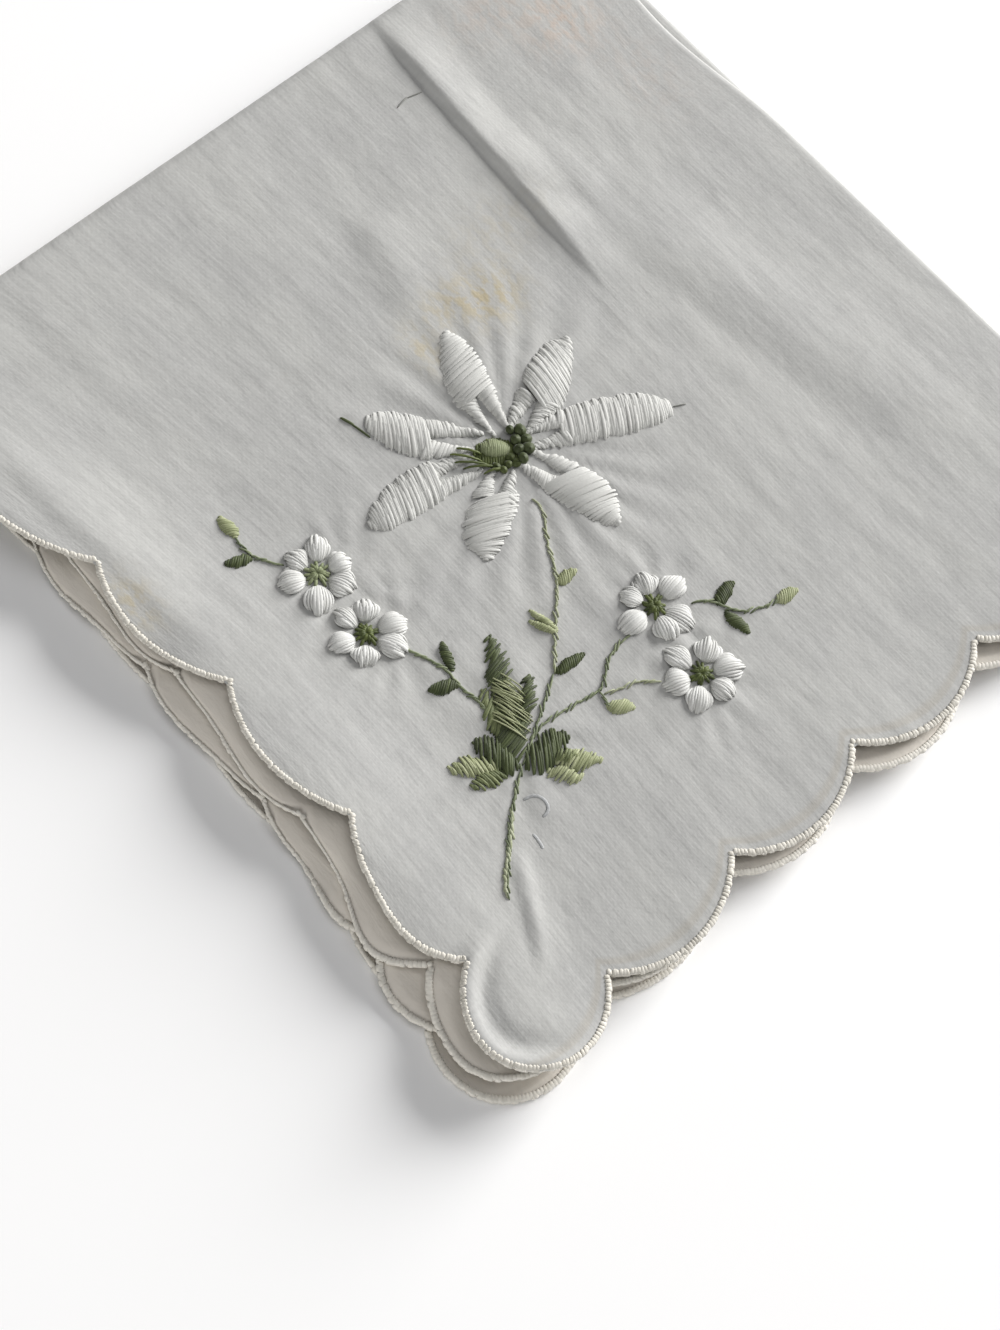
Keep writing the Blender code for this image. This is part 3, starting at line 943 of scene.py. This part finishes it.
# %% Stitch the small flowers
BLOOMS = (
    # x, y, turn in degrees, petal length, width, mm
    (-4.7, -31.1, 2, 4.7, 4.1),
    (-7.1, -44.0, -17, 4.7, 4.1),
    (-42.3, -5.7, -15, 4.5, 3.9),
    (-41.3, 6.5, -10, 4.6, 3.9),
)
BLOOM_PETALS = 6
FAN = np.linspace(-1, 1, 10)
BLOOM_HEART = 1.75
# For a strand's four control points: the share of its run, its spread and its height.
FAN_SHARES = (0.0, 0.25, 0.8, 1.0)
FAN_SPREADS = (0.4, 1.05, 1.25, 0.72)
FAN_HEIGHTS = (-0.1, 1.1, 1.25, -0.1)
FAN_STRAND_HEIGHT = 0.36 * MM
PETAL_CUSHION = 1.3


def stitch_bloom(stitches, x, y, turn, length, width):
    """Six ovals of lengthwise strands round one small flower's middle."""
    for number in range(BLOOM_PETALS):
        direction = turn + 360 / BLOOM_PETALS * number + random.uniform(-12, 12)
        long = length * random.uniform(0.84, 1.16)
        first = BLOOM_HEART + 0.6 * FAN**2
        last = BLOOM_HEART + long - 1.0 * FAN**2 + random.uniform(-0.35, 0.35, len(FAN))
        bow = FAN * width / 2 * random.uniform(0.78, 1.08)
        routes = []
        for share, spread, above in zip(FAN_SHARES, FAN_SPREADS, FAN_HEIGHTS):
            place = turned(direction, first + (last - first) * share, spread * bow, (x, y))
            cushion = PETAL_CUSHION * (1 - 0.5 * FAN**2) if above > 0 else np.ones(len(FAN))
            height = above * cushion
            routes.append(on_cloth(place[:, 0], place[:, 1], height))
        routes = np.stack(routes, 1)
        sides = np.cross((0, 0, 1), routes[:, 3] - routes[:, 0])
        widths = random.uniform(0.45, 0.8, len(FAN)) * MM
        stitches.add(routes, sides, widths, FAN_STRAND_HEIGHT, random.uniform(0.2, 1, len(FAN)))


blooms = Stitches("small_flower_petals", LONG_STITCH)
for bloom in BLOOMS:
    stitch_bloom(blooms, *bloom)
small_flower_petals = blooms.make(BLOOM_WHITE)

# %% [markdown]
# ## Flower hearts
#
# A small flower's heart is a tuft of short straight stitches that run out from one point over the
# petals' ends. The large flower's heart is richer: a soft pale oval in satin stitch on a dark
# ground, and a few straight stitches that shoot out to one side. All of it is laid with the
# same straight stitches as the petals, because that is how it is worked.

# %% Sizes of the hearts
TUFT_ROUNDS = (
    # where its strands start and end, as shares of the reach, and how high they stand in mm
    (0.15, 1.0, 0.45),
    (0.0, 0.62, 0.75),
)
TUFT_STRANDS = 13
OVAL_TURN = -40.0
OVAL_JITTER = 0.1
OVALS = {
    # middle, length, width, rise, distance between strands, mm
    "ground": ((-5.6, 3.9), 7.4, 5.6, 0.45, 0.42),
    "oval": ((-5.4, 4.6), 4.9, 3.5, 1.15, 0.3),
}
SHOOTS = np.array((
    # from, to, mm
    ((-7.2, 2.0), (-11.6, 5.4)),
    ((-7.8, 2.8), (-12.4, 7.2)),
    ((-8.2, 3.9), (-11.9, 8.8)),
    ((-7.6, 5.0), (-10.4, 9.0)),
    ((-6.8, 1.2), (-9.6, 2.6)),
))
shoot_lengths = np.linalg.norm(SHOOTS[:, 1] - SHOOTS[:, 0], axis=1)
print("shoots from", shoot_lengths.min().round(1), "to", shoot_lengths.max().round(1), "mm long")


# %% Straight stitches of the hearts
def stitch_tuft(stitches, place, reach, turn=0.0):
    """Short strands out from one point, in two rounds."""
    for start, end, height in TUFT_ROUNDS:
        even = np.radians(turn) + np.arange(TUFT_STRANDS) * 2 * np.pi / TUFT_STRANDS
        angle = even + random.uniform(-0.2, 0.2, TUFT_STRANDS)
        ray = np.stack([np.cos(angle), np.sin(angle)], 1)
        far = place + ray * reach * end * random.uniform(0.8, 1.15, (TUFT_STRANDS, 1))
        near = place + ray * reach * start
        stitches.lay(near, far, 0.58, 0.5, height, random.uniform(0, 1, TUFT_STRANDS))


def stitch_oval(stitches, middle, length, width, rise, strand):
    """Strands side by side across an oval, highest at its middle."""
    run = np.arange(-0.96, 0.97, 2 * strand / length)
    bulge = np.sqrt(1 - run**2)
    half = width / 2 * bulge
    jitter = random.uniform(-OVAL_JITTER, OVAL_JITTER, (2, len(run)))
    near = turned(OVAL_TURN, run * length / 2, -half + jitter[0], middle)
    far = turned(OVAL_TURN, run * length / 2, half + jitter[1], middle)
    stitches.lay(near, far, 0.6, 0.45, rise * bulge, random.uniform(0.2, 1, len(run)))


moss = Stitches("moss_hearts", SHORT_STITCH)
pale = Stitches("pale_hearts", SHORT_STITCH)
for x, y, turn, *_ in BLOOMS[:3]:
    stitch_tuft(moss, np.array([x, y]), 2.1, turn)
stitch_tuft(pale, np.array(BLOOMS[3][:2]), 2.2)
stitch_oval(moss, *OVALS["ground"])
stitch_oval(pale, *OVALS["oval"])
moss.lay(SHOOTS[:, 0], SHOOTS[:, 1], 0.45, 0.42, 1.15, random.uniform(0.3, 1, len(SHOOTS)))
moss_hearts = moss.make(MOSS_GREEN)
pale_hearts = pale.make(PALE_GREEN)

# %% [markdown]
# ## Knots of the large heart
#
# Beside the oval sits a ring of French knots: thread wound round the needle and pulled down, so
# that each is a small tight bead. Drawing the winding of every knot would be far finer than the
# eye sees. One knot is modelled instead, a closed torus made slightly oval and taller in edit
# mode, and copied to each place with a size and a tilt of its own.

# %% Tie the knots
KNOT_RING, KNOT_CORD = 0.21, 0.3
KNOT_SHAPE = (1.0, 0.86, 1.15)
# Places of the knots, x and y in mm.
DARK_KNOTS = ((-1.4, 5.4), (-0.2, 4.3), (-0.5, 2.6), (-1.8, 3.6), (-1.3, 1.2), (-2.6, 2.0), (-3.1, 0.5))
OLIVE_KNOTS = ((-4.4, 0.6), (-5.7, 1.2), (-6.9, 1.0), (-4.6, 1.9), (-7.4, 2.1))


def model_knot():
    """One wound knot, about 1 across: its points and faces."""
    bpy.ops.object.select_all(action="DESELECT")
    bpy.ops.mesh.primitive_torus_add(
        major_segments=9, minor_segments=6, major_radius=KNOT_RING, minor_radius=KNOT_CORD)
    bpy.ops.object.mode_set(mode="EDIT")
    bpy.ops.mesh.select_all(action="SELECT")
    bpy.ops.transform.resize(value=KNOT_SHAPE, center_override=(0, 0, 0))
    bpy.ops.object.mode_set(mode="OBJECT")
    return take_template(bpy.context.active_object)


def tie_knots(name, places, size, above, material):
    """Knots of one size at places on the cloth, in mm, each turned its own way."""
    points, faces = model_knot()
    placed = []
    for x, y in places:
        tilt = Matrix.Rotation(random.uniform(-0.5, 0.5), 3, "X")
        tilt = tilt @ Matrix.Rotation(random.uniform(0, 6.28), 3, "Z")
        scale = size * random.uniform(0.72, 1.22) * MM
        base = on_cloth(x, y, above + random.uniform(-0.15, 0.15))
        placed.append(points @ np.array(tilt).T * scale + base)
    tones = np.repeat(random.uniform(0.0, 0.6, len(placed)), len(points))
    return join_copies(name, np.concatenate(placed), faces, len(points), tones, 0.5, material)


dark_knots = tie_knots("dark_knots", DARK_KNOTS, 2.3, 0.6, DARK_GREEN)
olive_knots = tie_knots("olive_knots", OLIVE_KNOTS, 2.0, 0.5, MOSS_GREEN)

# %% [markdown]
# ## Leaves
#
# A leaf is one row of slanted satin strands across its midrib, pointed at both ends. The tuft at
# the foot of the spray is bolder: a tall leaf and two low ones, worked dark near the stem and
# light outside, with long light strands thrown over the tall one. A flat leaf shape with a
# striped colour would be quicker, but the ragged rim of real strands is what makes a leaf look
# sewn. One function lays any leaf, and a table gives each its thread, place and width.

# %% Lay one leaf
LEAF_STRAND = 0.36
LEAF_STRAND_WIDTH, LEAF_STRAND_HEIGHT = 0.5, 0.34


def stitch_leaf(stitches, base, tip, width, slant=0.5, rise=0.45, ragged=0.13):
    """Strands across a leaf from base to tip, in mm."""
    base, tip = np.array(base, float), np.array(tip, float)
    length = float(np.hypot(*(tip - base)))
    direction = math.degrees(math.atan2(*(tip - base)[::-1]))
    share = np.arange(0.03, 0.98, LEAF_STRAND / length)
    half = width / 2 * np.sin(np.pi * share**0.85) ** 0.8 + 0.12
    along = length * share
    shift = random.uniform(-ragged, ragged, (2, len(share)))
    start = turned(direction, along - slant * half, -half + shift[0], base)
    end = turned(direction, along + slant * half, half + shift[1], base)
    tones = random.uniform(0, 1, len(share))
    rises = rise * half / (width / 2)
    stitches.lay(start, end, LEAF_STRAND_WIDTH, LEAF_STRAND_HEIGHT, rises, tones)


print("strands laid in each millimetre of leaf:", round(1 / LEAF_STRAND, 1))

# %% Stitch the leaves
dark = Stitches("dark_leaves", LONG_STITCH)
light = Stitches("light_leaves", LONG_STITCH)
olive = Stitches("olive_leaves", LONG_STITCH)
SMALL_LEAVES = (
    # thread, base, tip, width, mm
    (dark, (-24.3, -29.0), (-18.6, -29.7), 1.7),
    (dark, (3.2, -37.0), (8.1, -36.2), 2.3),
    (dark, (3.5, -39.0), (3.7, -44.1), 1.9),
    (dark, (-36.4, -18.6), (-34.3, -14.0), 1.5),
    (dark, (-37.3, -20.9), (-41.3, -18.5), 2.3),
    (dark, (-47.4, 14.7), (-51.3, 16.7), 1.9),
    (light, (-13.7, -18.2), (-9.8, -18.8), 1.9),
    (light, (-19.3, -24.2), (-20.2, -18.8), 1.1),
    (light, (-19.6, -24.4), (-21.4, -20.2), 1.0),
    (light, (-21.8, -38.0), (-19.0, -41.3), 2.5),
    (light, (11.0, -42.8), (15.2, -43.8), 2.1),
    (light, (-46.9, 19.0), (-46.5, 23.3), 2.2),
)
FOOT_RAGGED = 0.55
FOOT_LEAVES = (
    # thread, base, tip, width, slant, rise, mm
    (dark, (-38.6, -36.2), (-32.4, -24.4), 6.4, -0.8, 0.7),
    (dark, (-34.0, -28.4), (-28.0, -17.8), 3.5, -0.9, 0.7),
    (dark, (-32.6, -31.6), (-27.9, -26.4), 2.4, -0.9, 0.6),
    (olive, (-37.9, -32.0), (-35.2, -23.6), 2.6, -1.0, 0.5),
    (dark, (-38.6, -36.9), (-29.9, -37.8), 4.9, 0.6, 0.7),
    (light, (-34.4, -38.8), (-28.9, -44.3), 3.6, 0.5, 0.65),
    (light, (-36.4, -39.8), (-33.0, -44.2), 2.4, 0.5, 0.6),
    (olive, (-34.0, -38.8), (-31.0, -41.4), 1.8, 0.5, 0.9),
    (dark, (-39.4, -36.6), (-42.0, -29.0), 4.4, -0.6, 0.7),
    (light, (-41.4, -34.6), (-47.8, -29.7), 3.4, -0.5, 0.6),
    (olive, (-41.4, -35.6), (-47.2, -34.0), 2.5, -0.5, 0.55),
)
for leaf in SMALL_LEAVES:
    stitch_leaf(*leaf)
for leaf in FOOT_LEAVES:
    stitch_leaf(*leaf, FOOT_RAGGED)

# %% Strands thrown over the tall leaf
THROWN = 30
THROWN_STARTS = ((-37.2, -27.6), (-31.9, -22.6))
THROWN_ENDS = ((-35.4, -34.0), (-30.6, -28.2))
start = np.linspace(*THROWN_STARTS, THROWN) + random.uniform(-0.7, 0.7, (THROWN, 2))
end = np.linspace(*THROWN_ENDS, THROWN) + random.uniform(-1.1, 1.1, (THROWN, 2))
light.lay(start, end, 0.24, 0.26, 1.0, random.uniform(0, 1, THROWN))
dark_leaves = dark.make(DARK_GREEN)
light_leaves = light.make(SAGE_GREEN)
olive_leaves = olive.make(OLIVE_GREEN)

# %% [markdown]
# ## Stems
#
# Stem stitch makes a thin rope: each stitch starts halfway back beside the one before it. By hand
# it never runs quite straight, so the route sways a little and every stitch is set slightly
# askew. A bevelled curve would give a smooth wire instead of a rope. So each route has a few
# points, is smoothed into a curve and is walked at even steps, one stitch at each.

# %% Routes of the stems
pale_stitches = Stitches("pale_stems", SHORT_STITCH)
grey_stitches = Stitches("grey_green_stems", SHORT_STITCH)
STEMS = (
    # thread, strand width and route, in mm
    (pale_stitches, 0.40, ((-6.4, -5.4), (-7.0, -8.6), (-9.4, -11.4), (-13.0, -17.5), (-16.5, -21.1),
                           (-22.1, -26.6), (-24.9, -29.3))),
    (grey_stitches, 0.40, ((-24.6, -29.0), (-29.0, -31.4), (-32.6, -33.4), (-35.4, -35.0), (-39.0, -36.9))),
    (grey_stitches, 0.46, ((-38.6, -36.6), (-41.4, -38.3), (-45.1, -41.0))),
    (pale_stitches, 0.62, ((-44.6, -40.6), (-48.3, -44.1), (-51.9, -46.8), (-55.4, -50.5))),
    (grey_stitches, 0.36, ((-44.0, -40.2), (-48.0, -43.3), (-51.5, -46.9), (-55.2, -50.6))),
    (grey_stitches, 0.42, ((-35.2, -34.4), (-31.9, -33.9), (-28.4, -34.4), (-24.8, -34.9), (-21.2, -35.6),
                           (-19.4, -35.0), (-17.0, -33.0), (-14.3, -32.1), (-12.2, -32.0), (-10.0, -32.4))),
    (pale_stitches, 0.38, ((-20.9, -36.2), (-19.0, -37.3), (-15.8, -38.2), (-12.8, -41.0))),
    (grey_stitches, 0.36, ((-20.8, -35.8), (-21.9, -37.4), (-21.6, -39.4), (-20.4, -40.6))),
    (grey_stitches, 0.42, ((0.4, -34.4), (2.8, -36.0), (3.7, -37.9), (5.1, -40.3), (8.6, -42.4),
                           (12.0, -43.0))),
    (grey_stitches, 0.46, ((-40.4, -9.4), (-38.6, -13.4), (-37.0, -17.8), (-37.3, -20.9), (-36.7, -25.2),
                           (-37.0, -28.6))),
    (grey_stitches, 0.40, ((-44.4, 10.6), (-46.9, 14.6), (-47.4, 16.4), (-47.0, 19.6))),
)
STEM_STEP = 0.95
STEM_STRAND_HEIGHT, STEM_RISE = 0.34, 0.28
SWAY, SWAY_LENGTH = 0.26, 3.4
print(len(STEMS), "lengths of stem")


# %% Stitch the stems
def smooth_route(points, step):
    """Even steps along a smooth curve through the points."""
    points = np.asarray(points, float)
    padded = np.concatenate([2 * points[:1] - points[1:2], points, 2 * points[-1:] - points[-2:-1]])
    dense = []
    for first, second, third, fourth in zip(padded, padded[1:], padded[2:], padded[3:]):
        share = np.linspace(0, 1, 40, endpoint=False)[:, None]
        curve = 2 * second + (third - first) * share
        curve = curve + (2 * first - 5 * second + 4 * third - fourth) * share**2
        dense.append((curve + (3 * second - first - 3 * third + fourth) * share**3) / 2)
    dense = np.concatenate(dense + [points[-1:]])
    run = np.concatenate([[0], np.cumsum(np.linalg.norm(np.diff(dense, axis=0), axis=1))])
    even = np.arange(0, run[-1], step)
    return np.stack([np.interp(even, run, dense[:, axis]) for axis in (0, 1)], 1)


def stitch_stem(stitches, width, points):
    """A swaying row of short stitches, each set askew across the route."""
    route = smooth_route(points, STEM_STEP)
    ahead = np.gradient(route, axis=0)
    ahead = ahead / np.linalg.norm(ahead, axis=1)[:, None]
    beside = np.stack([-ahead[:, 1], ahead[:, 0]], 1)
    walked = STEM_STEP * np.arange(len(route))
    sway = SWAY * np.sin(2 * np.pi * walked / SWAY_LENGTH + points[0][0])
    route = route + beside * sway[:, None] + random.uniform(-0.1, 0.1, route.shape)
    askew = beside[1:-1] * random.uniform(0.1, 0.32, (len(route) - 2, 1))
    tones = random.uniform(0, 1, len(askew))
    start, end = route[:-2] - askew, route[2:] + askew
    stitches.lay(start, end, 0.86 * width, STEM_STRAND_HEIGHT, STEM_RISE, tones, sunk=0.1)


for stem in STEMS:
    stitch_stem(*stem)
pale_stems = pale_stitches.make(PALE_STEM)
grey_green_stems = grey_stitches.make(GREY_STEM)

# %% [markdown]
# ## The buttonhole edge
#
# The raw scallops are bound with buttonhole stitch: each strand goes over the edge and back
# under, close to the next, so that the rim is a row of fine knobs. A tube along the rim would
# lose them. So each strand is laid, and since it follows the outline through every fold and
# layer, it finds its own way out, along and up from the cloth's surface. Where the edge lies
# under the top layer the strands are even, and their tones are painted paler, a painted light
# that offsets the top layer's shade on them.

# %% Places along the edge
EDGE_STRAND = 0.6 * MM
EDGE_DEPTH = 0.9 * MM
PROBE = 0.4 * MM
STATION_STEP = 0.15 * MM
EDGE_REACH = 0.4
EDGE_LIFT = 0.42 * MM
EDGE_HOLD = 0.6 * CLOTH_THICKNESS
EDGE_WIDTHS = (0.75, 1.15)
EDGE_STRAND_HEIGHT = 0.38 * MM
EDGE_TONE = 0.6


def edge_stations(spacing):
    """Even places along the outline, with the flat directions along it and out of it."""
    count = round(edge_steps.sum() / spacing)
    run = np.concatenate([[0], np.cumsum(edge_steps)])
    closed = np.concatenate([edge_points, edge_points[:1]])
    at = (np.arange(count) + 0.5) * run[-1] / count
    here, after, before = (
        np.stack([np.interp(at + step, run, closed[:, axis]) for axis in (0, 1)], 1)
        for step in (0.0, STATION_STEP, -STATION_STEP))
    ahead = (after - before) / np.linalg.norm(after - before, axis=1)[:, None]
    return here, ahead, np.stack([ahead[:, 1], -ahead[:, 0]], 1)


def unit(vectors):
    """Each row at length 1."""
    return vectors / np.maximum(np.linalg.norm(vectors, axis=1), 1e-12)[:, None]


here, ahead, outward = edge_stations(EDGE_STRAND)
print("places for strands along the edge:", len(here))

# %% Bind the edge
rim, rim_shares = fold(*here.T)
inside, _ = fold(*(here - outward * EDGE_DEPTH).T)
probe, _ = fold(*(here - outward * PROBE).T)
beside, _ = fold(*(here + ahead * PROBE - outward * PROBE).T)
out_way = unit(rim - probe)
along_way = unit(beside - probe)
up_way = unit(np.cross(out_way, along_way))
reach = (EDGE_REACH + random.uniform(-0.14, 0.18, len(rim)))[:, None] * MM
askew = along_way * random.uniform(-0.22, 0.22, (len(rim), 1)) * MM
edge_routes = np.stack([
    inside + askew + up_way * EDGE_HOLD,
    rim + out_way * reach + up_way * EDGE_LIFT,
    rim + out_way * reach - up_way * EDGE_LIFT,
    inside - up_way * EDGE_HOLD,
], 1)
binding = Stitches("buttonhole_edge", SHORT_STITCH)
tucked_under = 1 - rim_shares[0]
edge_widths = random.uniform(*EDGE_WIDTHS, len(rim)) * (1 - tucked_under) + EDGE_WIDTHS[1] * tucked_under
# Painted light: strands under the top layer get paler tones, to offset the shade they lie in.
edge_tones = random.uniform(0, EDGE_TONE, len(rim)) * (1 - 0.5 * tucked_under) + EDGE_TONE * tucked_under
binding.add(edge_routes, along_way, edge_widths * MM, EDGE_STRAND_HEIGHT, edge_tones)
buttonhole_edge = binding.make(EDGE_CREAM)

# %% [markdown]
# ## Loose threads
#
# Nothing shows handwork and age like what was left over. A few pale strand ends lie on the
# cloth, two dark ones stand off the tip of a petal, and below the foot of the spray a thread
# that was carried across the back shows through the thin linen. The ends are single stitches.
# The carried ones are laid almost flush and in a bluish shade close to the cloth's own, which is
# simpler than making the cloth see-through.

# %% Loose threads
strays = Stitches("loose_threads", LONG_STITCH)
dark_strays = Stitches("dark_thread_ends", LONG_STITCH)
carried = Stitches("carried_threads", LONG_STITCH)
LOOSE_ENDS = (
    # thread, from, to, width, height and rise in mm, tone
    (strays, (25.6, 61.0), (28.4, 61.6), 0.30, 0.30, 0.12, 0.5),
    (strays, (28.2, 61.4), (31.0, 60.8), 0.26, 0.26, 0.12, 0.5),
    (strays, (22.4, -8.2), (24.4, -9.2), 0.28, 0.28, 0.12, 0.5),
    (dark_strays, (-20.6, 24.2), (-19.8, 21.8), 0.5, 0.4, 0.15, 0.6),
    (dark_strays, (-20.0, 22.2), (-19.2, 18.6), 0.4, 0.35, 0.1, 0.3),
)
CARRIED_STEP = 0.7
CARRIED = (
    # one route after another under the cloth, mm
    ((-42.4, -40.7), (-40.5, -41.3), (-40.0, -43.4), (-40.9, -44.6), (-42.2, -44.6)),
    ((-45.0, -45.5), (-45.1, -47.2), (-45.7, -48.8)),
)
for thread, start, end, width, height, rise, tone in LOOSE_ENDS:
    thread.lay([start], [end], width, height, rise, [tone], sunk=0.0)
for route in CARRIED:
    steps = smooth_route(route, CARRIED_STEP)
    tones = random.uniform(0, 1, len(steps) - 2)
    carried.lay(steps[:-2], steps[2:], 0.55, 0.16, 0.03, tones, sunk=0.05)
carried_threads = carried.make(VEILED_STRAND)
loose_threads = strays.make(GREY_STRAND)
dark_thread_ends = dark_strays.make(DARK_GREEN)

# %% [markdown]
# ## Floor, light and camera
#
# Cloth is all small relief, and relief is only seen by light that comes from one side. A large
# soft lamp stands low on +X, so that each crease and strand has a lit and a shaded side and the
# stack throws a wide soft shadow. A weak lamp overhead and a low one across the cloth keep the
# shaded walls of the folds from going dark, and the air gives a little light from everywhere.
# The floor is matt and nearly white, like paper. The camera looks down steeply at the
# embroidered corner and is turned a little on its side.

# %% Floor
FLOOR_SIDE = 3.0
bpy.ops.object.select_all(action="DESELECT")
bpy.ops.mesh.primitive_plane_add(size=FLOOR_SIDE, location=(0, 0, 0))
floor = bpy.context.active_object
floor.name = "studio_floor"
# Uncoated paper: bright and quite without shine, so that nothing but the shadow shows on it.
paper, _, _ = new_material("matt_paper", {"Roughness": 0.9, "Base Color": linear("FCFCFC")})
floor.data.materials.append(paper)

# %% Light
LAMPS = {
    # place in metres, length of its side in metres, power in watts, colour
    "key": ((3.0, -0.15, 1.14), 1.7, 203.0, "FFFEFD"),
    "overhead": ((0.1, 0.0, 1.2), 1.0, 3.6, "FDFDFF"),
    "fill": ((-1.4, -0.5, 0.27), 0.5, 8.6, "FFFEFC"),
}
AIR_COLOUR, AIR_STRENGTH = "FAFAFA", 0.135
for name, (place, side, power, colour) in LAMPS.items():
    lamp = bpy.data.lights.new(name, "AREA")
    lamp.shape = "SQUARE"
    lamp.size = side
    lamp.energy = power
    lamp.color = linear(colour)[:3]
    lamp_object = bpy.data.objects.new(name, lamp)
    lamp_object.location = place
    lamp_object.rotation_euler = (-Vector(place)).to_track_quat("-Z", "Y").to_euler()
    bpy.context.scene.collection.objects.link(lamp_object)
    print(name, "lamp is", round(Vector(place).length, 2), "m away")
world = bpy.data.worlds.new("studio_air")
world.use_nodes = True
air = world.node_tree.nodes["Background"]
air.inputs["Color"].default_value = linear(AIR_COLOUR)
air.inputs["Strength"].default_value = AIR_STRENGTH
bpy.context.scene.world = world
bpy.context.scene.view_settings.view_transform = "Standard"

# %% Camera
CAMERA_AZIMUTH = math.radians(-63.5)
CAMERA_ELEVATION = math.radians(66.0)
CAMERA_ROLL = math.radians(21.7)
CAMERA_DISTANCE = 0.402
CAMERA_AIM = Vector((-28.0, -21.6, 0.0)) * MM
CAMERA_LENS = 70.4
CAMERA_SENSOR = 36.0
camera_data = bpy.data.cameras.new("camera")
camera_data.lens = CAMERA_LENS
camera_data.sensor_width = CAMERA_SENSOR
camera_data.clip_start = 0.01
camera = bpy.data.objects.new("camera", camera_data)
azimuth = Matrix.Rotation(CAMERA_AZIMUTH, 4, "Z")
tip = Matrix.Rotation(math.pi / 2 - CAMERA_ELEVATION, 4, "X")
roll = Matrix.Rotation(CAMERA_ROLL, 4, "Z")
back = azimuth @ tip @ Vector((0, 0, CAMERA_DISTANCE))
camera.matrix_world = Matrix.Translation(CAMERA_AIM + back) @ azimuth @ tip @ roll
bpy.context.scene.collection.objects.link(camera)
bpy.context.scene.camera = camera
print("camera at", [round(value, 3) for value in camera.matrix_world.translation])

# %% [markdown]
# ## Tie each piece to the model
#
# Last, every piece is tied to the solid model: the sheet takes the place of the solid cloth,
# whose part is hidden, and the stitches go wherever the cloth goes. The stitches could be
# declared as sheets or cords of their own, but they are sewn down all over and never move
# without the cloth.

stitched = [
    satin_petals, small_flower_petals, moss_hearts, pale_hearts, dark_knots, olive_knots,
    dark_leaves, light_leaves, olive_leaves, pale_stems, grey_green_stems, buttonhole_edge,
    loose_threads, carried_threads, dark_thread_ends,
]
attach(cloth, "root")
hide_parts("linen_square")
for piece in stitched:
    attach(piece, "root")
